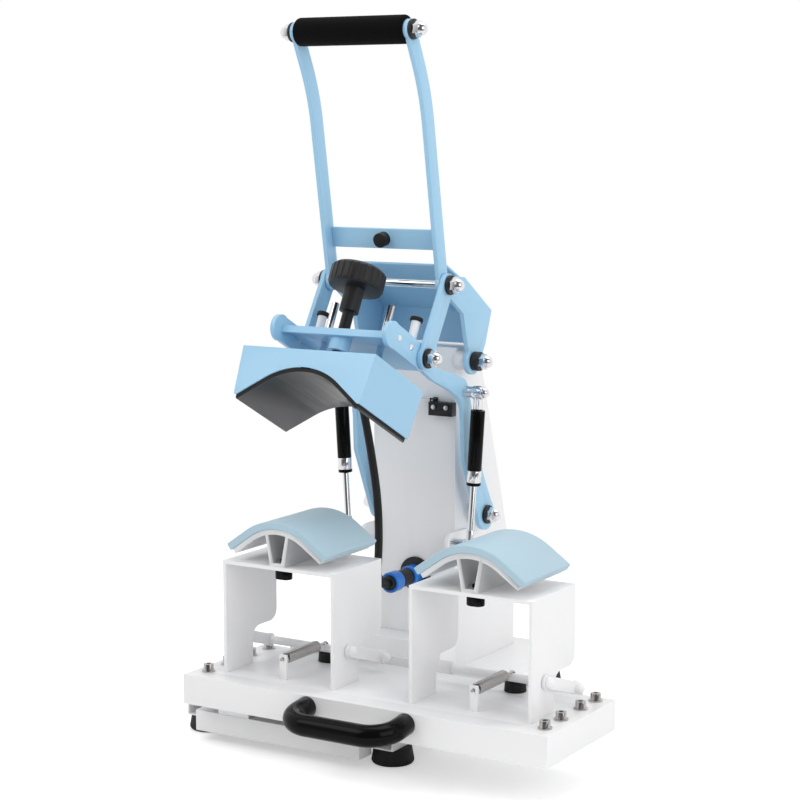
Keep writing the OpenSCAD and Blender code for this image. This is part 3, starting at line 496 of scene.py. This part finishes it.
PAD_SILICONE = Finish("grey_blue_silicone", "pad", (0.40, 0.555, 0.645), Texture.SILICONE, 0.55, tone=0.08,
                      scale=1600.0, depth=0.00003, sheen=0.1)
RUBBER = Finish("black_rubber", "rubber", (0.011, 0.011, 0.012), Texture.MOULDED, 0.6, specular=0.3, tone=0.4,
                scale=1500.0, depth=0.00003, dust=0.06)
FOAM = Finish("black_foam", "foam", (0.003, 0.003, 0.0033), Texture.FOAM, 0.86, specular=0.08, tone=0.5,
              spread=0.12, scale=650.0, depth=0.00025, sheen=0.02)
BLACK_PLASTIC = Finish("black_moulding", "black_plastic", (0.013, 0.013, 0.014), Texture.MOULDED, 0.44,
                       specular=0.35, tone=0.3, scale=1300.0, depth=0.00003, dust=0.04)
LOCK_BLACK = Finish("black_lock_moulding", "black_plastic", (0.003, 0.003, 0.0033), Texture.MOULDED, 0.2,
                    specular=0.12, tone=0.3, spread=0.08, depth=0.00001)
# Its tone of 0.6 paints shade into the thread's grooves and a highlight onto its crests.
BLACK_THREAD_PAINTED_SHADE = Finish("black_screw_thread_painted_shade", "black_plastic", (0.016, 0.016, 0.017), Texture.THREAD, 0.36,
                      metallic=0.3, specular=0.4, tone=0.6, depth=0.0006, stretch=(0.0, 229.9, 444.0))
GLOSS_BLACK = Finish("gloss_black_moulding", "gloss_black", (0.003, 0.0028, 0.0028), Texture.MOULDED, 0.14,
                     coat=0.03, specular=0.09, tone=0.3, spread=0.08, depth=0.00001)
RING_BLUE = Finish("blue_moulding", "ring_blue", (0.006, 0.17, 0.62), Texture.MOULDED, 0.3, coat=0.2,
                   depth=0.00001)
DISPLAY = Finish("dark_red_window", "display", (0.05, 0.006, 0.006), Texture.MOULDED, 0.1, coat=0.8,
                 spread=0.04, depth=0.000004)
KEY_GREY = Finish("grey_key_moulding", "keys", (0.46, 0.47, 0.49), Texture.MOULDED, 0.5)
ROCKER_RED = Finish("red_rocker_moulding", "rocker_red", (0.42, 0.012, 0.012), Texture.MOULDED, 0.24, coat=0.4,
                    depth=0.00001)


@dataclass(frozen=True)
class Region:
    """Faces of a piece that get a finish of their own.

    Attributes:
        finish: Finish of those faces.
    """

    finish: Finish

    def holds(self, face: bmesh.types.BMFace) -> bool:
        """Says whether a face belongs to the region."""
        raise NotImplementedError


@dataclass(frozen=True)
class BarRegion(Region):
    """Faces inside a round bar.

    Attributes:
        point: The middle of the bar's axis, in metres.
        direction: Direction of the axis.
        radius: Radius that all corners of a face lie within, in metres.
        half: Half the bar's length, in metres.
    """

    point: Vector
    direction: Vector
    radius: float
    half: float = math.inf

    def holds(self, face: bmesh.types.BMFace) -> bool:
        """Says whether all corners of a face lie in the bar.

        Args:
            face: The face.

        Returns:
            True if they do.
        """
        axis = self.direction.normalized()
        offsets = [v.co - self.point for v in face.verts]
        return all(o.cross(axis).length <= self.radius and abs(o.dot(axis)) <= self.half for o in offsets)


@dataclass(frozen=True)
class FacingRegion(Region):
    """Faces that look along one of some directions, either way.

    Attributes:
        directions: The directions.
        likeness: Least cosine between such a face's normal and a direction.
    """

    directions: tuple[Vector, ...]
    likeness: float = 0.9

    def holds(self, face: bmesh.types.BMFace) -> bool:
        """Says whether a face looks along one of the directions."""
        return any(abs(face.normal.dot(d)) > self.likeness for d in self.directions)


@dataclass(frozen=True)
class Dressing:
    """How one solid is dressed.

    Attributes:
        node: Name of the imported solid.
        finish: Its finish.
        edge: Width of its rounded edges in millimetres.
        segments: Facets across a rounded edge.
        regions: Parts of it with another finish.
    """

    node: str
    finish: Finish
    edge: float = 0.6
    segments: int = 2
    regions: tuple[Region, ...] = ()


@dataclass
class Assembly:
    """A group of solids that is dressed together.

    Attributes:
        nodes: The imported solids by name.
        body: Name of the body that the group rides on.
    """

    nodes: dict[str, bpy.types.Object]
    body: str = "frame"

    def dressings(self) -> list[Dressing]:
        """Lists how the solids of the group are dressed."""
        return []

    def build(self) -> None:
        """Dresses every solid of the group."""
        for dressing in self.dressings():
            self.dress(dressing)

    def dress(self, dressing: Dressing, body: str | None = None) -> None:
        """Replaces a solid by a copy with rounded edges and its finish.

        Args:
            dressing: What to dress and how.
            body: Body to ride on where it isn't the group's own.
        """
        piece = add_object(f"{dressing.node}_dressed", self.refined_mesh(dressing))
        self.round_edges(piece, dressing.edge * MM, dressing.segments)
        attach(piece, body or self.body)
        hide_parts(dressing.node)
        LOG.info("%s dressed in %s", dressing.node, dressing.finish.name)

    def refined_mesh(self, dressing: Dressing) -> bpy.types.Mesh:
        """Copies a solid's mesh with whole faces, and gives each face its finish.

        Args:
            dressing: What to dress and how.

        Returns:
            The new mesh.
        """
        mesh = self.nodes[dressing.node].data.copy()
        mesh.materials.clear()
        shape = bmesh.new()
        shape.from_mesh(mesh)
        bmesh.ops.remove_doubles(shape, verts=shape.verts, dist=MERGE_DISTANCE)
        bmesh.ops.dissolve_limit(
            shape, angle_limit=FLAT_ANGLE, verts=shape.verts, edges=shape.edges, use_dissolve_boundaries=False
        )
        bmesh.ops.recalc_face_normals(shape, faces=shape.faces)
        for dressed in (dressing, *dressing.regions):
            mesh.materials.append(dressed.finish.material())
        for face in shape.faces:
            face.smooth = True
            face.material_index = next((i for i, r in enumerate(dressing.regions, 1) if r.holds(face)), 0)
        shape.to_mesh(mesh)
        shape.free()
        return mesh

    @staticmethod
    def round_edges(piece: bpy.types.Object, width: float, segments: int) -> None:
        """Adds a live rounding of the sharp edges.

        Args:
            piece: Object to round.
            width: Width of the rounding in metres.
            segments: Facets across it.
        """
        bevel = piece.modifiers.new("rounded_edges", "BEVEL")
        bevel.width = width
        bevel.segments = segments
        bevel.profile = 0.5
        bevel.limit_method = "ANGLE"
        bevel.angle_limit = SHARP_ANGLE
        bevel.use_clamp_overlap = True
        bevel.harden_normals = True
        bevel.miter_outer = "MITER_ARC"


def strut_stud(at: Point) -> BarRegion:
    """Marks the studs of the gas struts on a painted piece as bare chrome.

    Args:
        at: A point on the studs' axis, in the machine's own millimetres.

    Returns:
        The region of the studs' faces.
    """
    return BarRegion(CHROME, place(*at), ACROSS, STUD_RADIUS * MM)


def swept_tube(name: str, path: list[Vector], radius: float, sides: int) -> bpy.types.Object:
    """Makes a round tube along a path.

    Args:
        name: Name of the object.
        path: Points of its centre line, in metres.
        radius: Radius in metres.
        sides: Facets around it, a multiple of four.

    Returns:
        The tube as a mesh object at the origin.
    """
    line = bpy.data.curves.new(name, "CURVE")
    line.dimensions = "3D"
    line.bevel_depth = radius
    line.bevel_resolution = sides // 2 - 2
    line.use_fill_caps = True
    line.twist_mode = "MINIMUM"
    spline = line.splines.new("POLY")
    spline.points.add(len(path) - 1)
    for point, co in zip(spline.points, path):
        point.co = (*co, 1.0)
    draft = add_object(f"{name}_draft", line)
    bpy.context.view_layer.update()
    mesh = bpy.data.meshes.new_from_object(draft.evaluated_get(bpy.context.evaluated_depsgraph_get()))
    bpy.data.objects.remove(draft)
    shape = bmesh.new()
    shape.from_mesh(mesh)
    bmesh.ops.remove_doubles(shape, verts=shape.verts, dist=MERGE_DISTANCE)
    bmesh.ops.recalc_face_normals(shape, faces=shape.faces)
    for face in shape.faces:
        face.smooth = len(face.verts) <= 4
    shape.to_mesh(mesh)
    shape.free()
    mesh.name = name
    return add_object(name, mesh)


@dataclass
class HeaterCable(Assembly):
    """The heater's cable from its gland on the head down to its plug on the column.

    Attributes:
        side: Its place beside the column's middle plane, in millimetres.
        diameter: Its diameter in millimetres.
        start: Its end at the gland, behind the tray's front edge and above the floor, in millimetres.
        runs: Length in millimetres and turn in degrees of each arc, from the gland on.
        stride: Longest piece of the centre line in millimetres.
        still: Points of the centre line, from the plug on, that stay with the column; not used.
        sides: Facets around it.
    """

    side: float = 3.0
    diameter: float = 10.0
    start: tuple[float, float] = (203.13, 391.92)
    runs: tuple[tuple[float, float], ...] = (
        (1.0, 0.0), (18.2, -43.54), (88.2, -5.33), (113.2, -21.76), (37.6, 98.02), (2.0, 0.0),
    )
    stride: float = 8.0
    still: int = 5
    sides: int = 20

    def centre_line(self) -> list[Vector]:
        """Works out the centre line, arc by arc.

        Returns:
            Its points in metres, from the gland on.
        """
        y, z = self.start
        heading = -HEAD_TILT
        path = [place(self.side, y, z)]
        for length, turn in self.runs:
            count = math.ceil(length / self.stride)
            for _ in range(count):
                middle = math.radians(heading + turn / count / 2)
                y += length / count * math.cos(middle)
                z += length / count * math.sin(middle)
                heading += turn / count
                path.append(place(self.side, y, z))
        return path

    def build(self) -> None:
        """Makes the cable from its gland down to its plug."""
        path = self.centre_line()
        cable = swept_tube("heater_cable_sheath", path, self.diameter / 2 * MM, self.sides)
        cable.data.materials.append(RUBBER.material())
        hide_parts("heater_cable")
        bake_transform(cable)


@dataclass
class Base(Assembly):
    """Base pan, foot bars, feet and the cover of the wiring."""

    def dressings(self) -> list[Dressing]:
        """Lists how the solids of the base are dressed."""
        return [
            Dressing("base_pan", WHITE_COAT, 1.6, 3),
            Dressing("foot_bars", WHITE_COAT, 0.6, 3),
            Dressing("rubber_feet", RUBBER, 1.2, 3),
            Dressing("wiring_cover", WHITE_COAT, 1.4, 3),
        ]


@dataclass
class Column(Assembly):
    """Column with its controls, sockets, limit switch and pivots.

    Attributes:
        strut_foot: A point on the axis of the struts' lower studs.
    """

    strut_foot: Point = (0.0, 325.0, 204.0)

    def dressings(self) -> list[Dressing]:
        """Lists how the solids of the column are dressed."""
        return [
            Dressing("column", WHITE_COAT, 1.8, 3),
            Dressing("controller", BLACK_PLASTIC, 1.2, 3),
            Dressing("controller_window", DISPLAY, 0.3),
            Dressing("keypad", KEY_GREY, 0.5),
            Dressing("mains_inlet", BLACK_PLASTIC, 0.8),
            Dressing("power_switch", BLACK_PLASTIC, 0.6),
            Dressing("pivot_shafts", ZINC_STEEL, 0.4),
            Dressing("pivot_bushes", WHITE_COAT, 0.4),
            Dressing("pivot_washers", BLACK_PLASTIC, 0.8),
            Dressing("pivot_nuts", CHROME, 0.7, 3),
            Dressing("limit_switch", BLACK_PLASTIC, 0.5),
            Dressing("switch_screws", ZINC_STEEL, 0.4),
            Dressing("heater_socket", BLACK_PLASTIC, 0.8, 3),
            Dressing("plug_rings", RING_BLUE, 1.2, 3),
            Dressing("plug_body", BLACK_PLASTIC, 1.2, 3),
            Dressing("bearing_blocks", ALUMINIUM, 0.8),
            Dressing("strut_brackets", WHITE_COAT, 0.8, regions=(strut_stud(self.strut_foot),)),
        ]

    def build(self) -> None:
        """Dresses the column, then the rocker and the switch lever on their own bodies."""
        super().build()
        self.dress(Dressing("power_rocker", ROCKER_RED, 0.5), "power_rocker")
        self.dress(Dressing("switch_lever", ZINC_STEEL, 0.15), "switch_lever")


@dataclass
class Tray(Assembly):
    """Sliding tray with its rails, handle and pedestals."""

    body: str = "tray"

    def dressings(self) -> list[Dressing]:
        """Lists how the solids of the tray are dressed."""
        return [
            Dressing("tray", WHITE_COAT, 1.8, 3),
            Dressing("tray_screws", BRIGHT_STEEL, 0.7),
            Dressing("shaft_supports", ALUMINIUM, 0.6),
            Dressing("guide_shafts", CHROME, 0.6),
            Dressing("pull_handle", GLOSS_BLACK, 0.6),
            Dressing("pedestals", WHITE_COAT, 1.2, 3),
            Dressing("platens", ALUMINIUM, 0.7),
            Dressing("pads", PAD_SILICONE, 1.4, 3),
            Dressing("spring_posts", WHITE_COAT, 0.6),
            Dressing("bail_bumpers", RUBBER, 1.2, 3),
        ]


@dataclass
class CapStation(Assembly):
    """Bail, spring and lock knob of one station.

    Lengths are in millimetres, and places along the press count from the tray's front edge.

    Attributes:
        side: "left" or "right".
        middle: Middle of the station beside the column's middle plane.
        post: Front of the spring's pin.
        lead: Bare wire between the pin's end and the coil.
        coil_from: Front end of the coil.
        coil_to: Back end of the coil.
        coil_radius: Radius of the coil's middle line.
        wire: Diameter of the wire.
        sides: Facets around the wire.
        turns: Turns of the coil.
        turn_steps: Pieces of the wire's line in one turn.
        ramp: Part of a turn in which the wire goes out from the coil's axis.
        bar: The bail's bar, along the press and above the floor.
        rise: Height of the coil's axis above the bar.
        hook: Radius of the hook's middle line.
        hook_from: Start of the hook round the bar, in degrees.
        hook_turn: Turn of the hook in degrees.
        hook_steps: Pieces of the wire's line in the hook.
    """

    side: str = "left"
    middle: float = 0.0
    post: float = 38.0
    lead: float = 1.5
    coil_from: float = 47.0
    coil_to: float = 115.0
    coil_radius: float = 5.4
    wire: float = 2.9
    sides: int = 8
    turns: int = 21
    turn_steps: int = 18
    ramp: float = 0.4
    bar: tuple[float, float] = (131.0, 104.0)
    rise: float = 6.3
    hook: float = 7.0
    hook_from: float = 116.0
    hook_turn: float = 140.0
    hook_steps: int = 14

    def build(self) -> None:
        """Dresses the bail and the knob, and winds the spring."""
        self.dress(Dressing(f"cap_bail_{self.side}", WHITE_COAT, 0.9, 3), f"cap_bail_{self.side}")
        self.dress(Dressing(f"lock_knob_{self.side}", LOCK_BLACK, 1.4, 3), f"lock_knob_{self.side}")
        self.wind_spring()

    def spring_path(self) -> list[Vector]:
        """Works out the wire's centre line: a pin, the coil, and a hook round the bail's bar.

        Returns:
            Its points in metres, from the pin on.
        """
        bar_y, bar_z = self.bar
        axis_z = bar_z + self.rise
        path = [place(self.middle, y, axis_z) for y in (self.post, self.coil_from - self.lead)]
        count = self.turns * self.turn_steps
        for k in range(count + 1):
            t = k / count
            reach = self.coil_radius * min(1.0, t * self.turns / self.ramp, (1.0 - t) * self.turns / self.ramp)
            turn = math.tau * self.turns * t
            y = self.coil_from + t * (self.coil_to - self.coil_from)
            path.append(place(self.middle + reach * math.sin(turn), y, axis_z + reach * math.cos(turn)))
        for k in range(self.hook_steps + 1):
            turn = math.radians(self.hook_from - self.hook_turn * k / self.hook_steps)
            y, z = bar_y + self.hook * math.cos(turn), bar_z + self.hook * math.sin(turn)
            path.append(place(self.middle, y, z))
        return path

    def wind_spring(self) -> None:
        """Makes the spring from the tray's pin to the bail's bar."""
        spring = swept_tube(f"cap_spring_{self.side}_coil", self.spring_path(), self.wire / 2 * MM, self.sides)
        spring.data.materials.append(BRIGHT_STEEL.material())
        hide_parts(f"cap_spring_{self.side}")
        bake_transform(spring)
        LOG.info("cap_spring_%s_coil wound in %d turns", self.side, self.turns)


@dataclass
class Lift(Assembly):
    """Lift arms with the carrier plate, its screws and its posts.

    Attributes:
        strut_top: A point on the axis of the struts' upper studs.
        caps: Middle of the rubber cap on each post.
        cap_radius: Radius that holds a cap, in millimetres.
        cap_half: Half a cap's length in millimetres.
    """

    body: str = "lift"
    strut_top: Point = (0.0, 325.0, 398.0)
    caps: tuple[Point, ...] = ((-67.0, 232.8, 494.0), (67.0, 232.8, 494.0))
    cap_radius: float = 8.6
    cap_half: float = 2.9

    def dressings(self) -> list[Dressing]:
        """Lists how the solids of the lift are dressed.

        Returns:
            One dressing for each solid.
        """
        along = head_axes()[0]
        radius, half = self.cap_radius * MM, self.cap_half * MM
        caps = tuple(BarRegion(RUBBER, place(*cap), along, radius, half) for cap in self.caps)
        return [
            Dressing("lift_arms", BLUE_COAT, 0.8, 3, (strut_stud(self.strut_top),)),
            Dressing("carrier", BLUE_COAT, 0.8, 3),
            Dressing("carrier_screws", CHROME, 0.6, 3),
            Dressing("bumper_posts", WHITE_COAT, 0.9, 3, caps),
        ]


@dataclass
class GasStruts(Assembly):
    """Both gas struts, each a tube half and a rod half."""

    body: str = "strut_tubes"

    def dressings(self) -> list[Dressing]:
        """Lists how the solids of the tube halves are dressed."""
        return [
            Dressing("strut_tubes", GLOSS_BLACK, 0.7, 3),
            Dressing("strut_collars", CHROME, 0.3),
        ]

    def build(self) -> None:
        """Dresses the tubes, then the rods on their own body."""
        super().build()
        self.dress(Dressing("strut_rods", CHROME, 0.5), "strut_rods")


@dataclass
class Handle(Assembly):
    """Operating handle with its cranks, hood, pins, grip and crossbar.

    Attributes:
        stop: A point on the axis of the crossbar's rubber stop.
        stop_radius: Radius that holds the stop, in millimetres.
        lean: Lean of the handle's lower stretch in degrees.
    """

    body: str = "crank"
    stop: Point = (0.0, 263.6, 587.2)
    stop_radius: float = 9.6
    lean: float = 10.0

    def dressings(self) -> list[Dressing]:
        """Lists how the solids of the handle are dressed.

        Returns:
            One dressing for each solid.
        """
        lean = math.radians(self.lean)
        forward = Vector((0.0, math.cos(lean), math.sin(lean)))
        stop = BarRegion(RUBBER, place(*self.stop), forward, self.stop_radius * MM)
        return [
            Dressing("handle_arms", BLUE_COAT, 0.8, 3),
            Dressing("crank_hood", BLUE_COAT, 0.8, 3),
            Dressing("crank_shaft", CHROME, 0.4),
            Dressing("crank_washers", BLACK_PLASTIC, 0.8),
            Dressing("crank_nuts", CHROME, 0.7, 3),
            Dressing("grip", FOAM, 4.0, 5),
            Dressing("crossbar", BLUE_COAT, 0.8, 3, (stop,)),
        ]


@dataclass
class ToggleLinks(Assembly):
    """Links between the cranks and the lift arms."""

    body: str = "links"

    def dressings(self) -> list[Dressing]:
        """Lists how the solids of the links are dressed."""
        return [
            Dressing("toggle_links", BLUE_COAT, 0.8, 3),
            Dressing("link_washers", BLACK_PLASTIC, 0.8),
            Dressing("link_nuts", CHROME, 0.7, 3),
        ]


@dataclass
class HeatingHead(Assembly):
    """Heat shield with its guide pins, the heating plate and the pressure screw.

    Attributes:
        pins: A point on each guide pin's axis.
        pin_radius: Radius that holds a guide pin, in millimetres.
        gland: A point on the gland's axis.
        gland_radius: Radius that holds the gland, in millimetres.
        screw: A point on the pressure screw's axis.
        screw_radius: Radius that holds the screw's thread, in millimetres.
    """

    body: str = "heater"
    pins: tuple[Point, ...] = ((-40.0, 208.5, 488.3), (40.0, 208.5, 488.3))
    pin_radius: float = 5.2
    gland: Point = (3.0, 200.0, 393.6)
    gland_radius: float = 8.6
    screw: Point = (0.0, 171.5, 475.6)
    screw_radius: float = 7.4

    def dressings(self) -> list[Dressing]:
        """Lists how the solids of the head are dressed.

        Returns:
            One dressing for each solid.
        """
        along, back = head_axes()
        pins = tuple(BarRegion(CHROME, place(*pin), along, self.pin_radius * MM) for pin in self.pins)
        gland = BarRegion(BLACK_PLASTIC, place(*self.gland), back, self.gland_radius * MM)
        seal = FacingRegion(RUBBER, (back, ACROSS))
        return [
            Dressing("heat_shield", BLUE_COAT, 1.8, 4, (*pins, gland)),
            Dressing("heating_plate", HOT_PLATE, 0.6, regions=(seal,)),
        ]

    def build(self) -> None:
        """Dresses the head, then the pressure screw on its own body."""
        super().build()
        # The thread's finish paints shade into its grooves and a highlight onto its crests.
        thread = BarRegion(BLACK_THREAD_PAINTED_SHADE, place(*self.screw), head_axes()[0], self.screw_radius * MM)
        self.dress(Dressing("pressure_screw", BLACK_PLASTIC, 0.7, regions=(thread,)), "pressure_screw")


@dataclass(frozen=True)
class Softbox:
    """A square soft lamp that looks at the press.

    Attributes:
        name: Name of the lamp.
        at: Its place in metres.
        size: Its side in metres.
        power: Its power in watts.
    """

    name: str
    at: Point
    size: float
    power: float

    AIM: ClassVar[Point] = (0.0, 0.0, 0.35)

    def build(self) -> None:
        """Adds the lamp to the scene."""
        data = bpy.data.lights.new(self.name, "AREA")
        data.size = self.size
        data.energy = self.power
        lamp = add_object(self.name, data)
        lamp.location = self.at
        lamp.rotation_euler = (Vector(self.AIM) - Vector(self.at)).to_track_quat("-Z", "Y").to_euler()


@dataclass
class Studio:
    """Camera, floor, world and lamps.

    Attributes:
        eye: Place of the camera in metres.
        right: The camera's right-hand direction.
        up: The camera's upward direction.
        lens: Focal length in millimetres.
        sensor: Width of the sensor in millimetres.
        floor_radius: Radius of the floor in metres.
        floor_sides: Sides of the floor's outline.
        floor_drop: How far the floor lies below the feet, in metres.
        floor_tone: Linear tone of the floor.
        floor_glow: Light that the floor adds for the camera alone.
        floor_fade: Where the floor begins to fade and where it is gone, in metres from its middle.
        soft_light: Strength of the world's soft light.
        white: Strength at which the background is white.
        dim: Strength of the room around the camera, as reflections show it.
        dim_span: Cosines of the angle to the camera between which the room goes from white to dim.
        lamps: The soft lamps.
    """

    eye: Point = (1.209, -2.0954, 0.7253)
    right: Point = (0.8547, 0.5191, 0.0)
    up: Point = (-0.0693, 0.1141, 0.9910)
    lens: float = 91.73
    sensor: float = 36.0
    floor_radius: float = 6.0
    floor_sides: int = 96
    floor_drop: float = 0.0004
    floor_tone: float = 0.92
    floor_glow: float = 0.42
    floor_fade: tuple[float, float] = (0.75, 1.6)
    soft_light: float = 0.74
    white: float = 1.0
    dim: float = 0.12
    dim_span: tuple[float, float] = (0.1, 0.8)
    lamps: tuple[Softbox, ...] = (
        Softbox("key_softbox", (-1.3, -1.9, 2.3), 1.6, 15.0),
        Softbox("fill_softbox", (2.3, -1.0, 1.3), 1.8, 18.0),
        Softbox("top_softbox", (0.2, 0.5, 2.7), 1.8, 18.0),
    )

    def build(self) -> None:
        """Sets up the whole studio."""
        bpy.context.scene.view_settings.view_transform = "Standard"
        self.set_camera()
        self.set_floor()
        self.set_world()
        for lamp in self.lamps:
            lamp.build()
        LOG.info("studio set up")

    def set_camera(self) -> None:
        """Creates the camera at the photograph's viewing angle."""
        data = bpy.data.cameras.new("studio_camera")
        data.lens = self.lens
        data.sensor_width = self.sensor
        camera = add_object("studio_camera", data)
        right = Vector(self.right).normalized()
        back = right.cross(Vector(self.up)).normalized()
        up = back.cross(right)
        turn = Matrix((right, up, back)).transposed()
        camera.matrix_world = Matrix.Translation(Vector(self.eye)) @ turn.to_4x4()
        bpy.context.scene.camera = camera

    def set_floor(self) -> None:
        """Lays a pale round floor that fades into the background."""
        mesh = bpy.data.meshes.new("studio_floor")
        shape = bmesh.new()
        bmesh.ops.create_circle(shape, cap_ends=True, segments=self.floor_sides, radius=self.floor_radius)
        shape.to_mesh(mesh)
        shape.free()
        floor = add_object("studio_floor", mesh)
        floor.location.z = -self.floor_drop
        mesh.materials.append(self.floor_material())

    def floor_material(self) -> bpy.types.Material:
        """Builds the floor's pale surface, which fades out with distance and looks white to the camera.

        Returns:
            The material.
        """
        material = bpy.data.materials.new("pale_floor")
        material.use_nodes = True
        tree = material.node_tree
        shader = node_of(tree, "BSDF_PRINCIPLED")
        set_inputs(shader, {
            "Base Color": (self.floor_tone, self.floor_tone, self.floor_tone, 1.0),
            "Roughness": 0.7,
            "Specular IOR Level": 0.2,
            "Emission Color": (1.0, 1.0, 1.0, 1.0),
        })
        rays = tree.nodes.new("ShaderNodeLightPath")
        glow = tree.nodes.new("ShaderNodeMath")
        glow.operation = "MULTIPLY"
        glow.inputs[1].default_value = self.floor_glow
        tree.links.new(rays.outputs["Is Camera Ray"], glow.inputs[0])
        tree.links.new(glow.outputs[0], shader.inputs["Emission Strength"])
        where = tree.nodes.new("ShaderNodeTexCoord")
        length = tree.nodes.new("ShaderNodeVectorMath")
        length.operation = "LENGTH"
        tree.links.new(where.outputs["Object"], length.inputs[0])
        fade = tree.nodes.new("ShaderNodeMapRange")
        set_inputs(fade, {"From Min": self.floor_fade[0], "From Max": self.floor_fade[1]})
        tree.links.new(length.outputs["Value"], fade.inputs["Value"])
        clear = tree.nodes.new("ShaderNodeBsdfTransparent")
        mix = tree.nodes.new("ShaderNodeMixShader")
        tree.links.new(fade.outputs["Result"], mix.inputs[0])
        tree.links.new(shader.outputs[0], mix.inputs[1])
        tree.links.new(clear.outputs[0], mix.inputs[2])
        tree.links.new(mix.outputs[0], node_of(tree, "OUTPUT_MATERIAL").inputs["Surface"])
        return material

    def set_world(self) -> None:
        """Makes the background white to the camera, a soft light elsewhere, and a dim room in reflections."""
        world = bpy.data.worlds.new("studio_world")
        bpy.context.scene.world = world
        world.use_nodes = True
        tree = world.node_tree
        background = node_of(tree, "BACKGROUND")
        background.inputs["Color"].default_value = (1.0, 1.0, 1.0, 1.0)
        rays = tree.nodes.new("ShaderNodeLightPath").outputs
        strength = self.chosen(tree, rays["Is Glossy Ray"], self.soft_light, self.room_strength(tree))
        strength = self.chosen(tree, rays["Is Camera Ray"], strength, self.white)
        tree.links.new(strength, background.inputs["Strength"])

    def room_strength(self, tree: Tree) -> Socket:
        """Works out how bright the room is in a direction: white walls, dim around the camera.

        Args:
            tree: The world's node tree.

        Returns:
            Socket of the brightness.
        """
        towards = tree.nodes.new("ShaderNodeVectorMath")
        towards.operation = "DOT_PRODUCT"
        tree.links.new(tree.nodes.new("ShaderNodeTexCoord").outputs["Generated"], towards.inputs[0])
        towards.inputs[1].default_value = Vector(self.eye).normalized()
        room = tree.nodes.new("ShaderNodeMapRange")
        room.interpolation_type = "SMOOTHSTEP"
        set_inputs(room, {
            "From Min": self.dim_span[0],
            "From Max": self.dim_span[1],
            "To Min": self.white,
            "To Max": self.dim,
        })
        tree.links.new(towards.outputs["Value"], room.inputs["Value"])
        return room.outputs["Result"]

    @staticmethod
    def chosen(tree: Tree, switch: Socket, off: Socket | float, on: Socket | float) -> Socket:
        """Chooses one of two brightnesses.

        Args:
            tree: The world's node tree.
            switch: Socket that is 0 or 1.
            off: Number or socket for 0.
            on: Number or socket for 1.

        Returns:
            Socket of the chosen brightness.
        """
        mix = tree.nodes.new("ShaderNodeMix")
        tree.links.new(switch, mix.inputs["Factor"])
        feed(tree, off, mix.inputs["A"])
        feed(tree, on, mix.inputs["B"])
        return mix.outputs["Result"]


def main() -> None:
    """Builds the studio and every sub-assembly."""
    logging.basicConfig(level=logging.INFO, format="%(name)s: %(message)s")
    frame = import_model()
    nodes = frame["nodes"]
    Studio().build()
    for assembly in (
        HeaterCable(nodes),
        Base(nodes),
        Column(nodes),
        Tray(nodes),
        CapStation(nodes),
        CapStation(nodes, side="right", middle=254.0),
        Lift(nodes),
        GasStruts(nodes),
        Handle(nodes),
        ToggleLinks(nodes),
        HeatingHead(nodes),
    ):
        assembly.build()


if __name__ == "__main__":
    main()
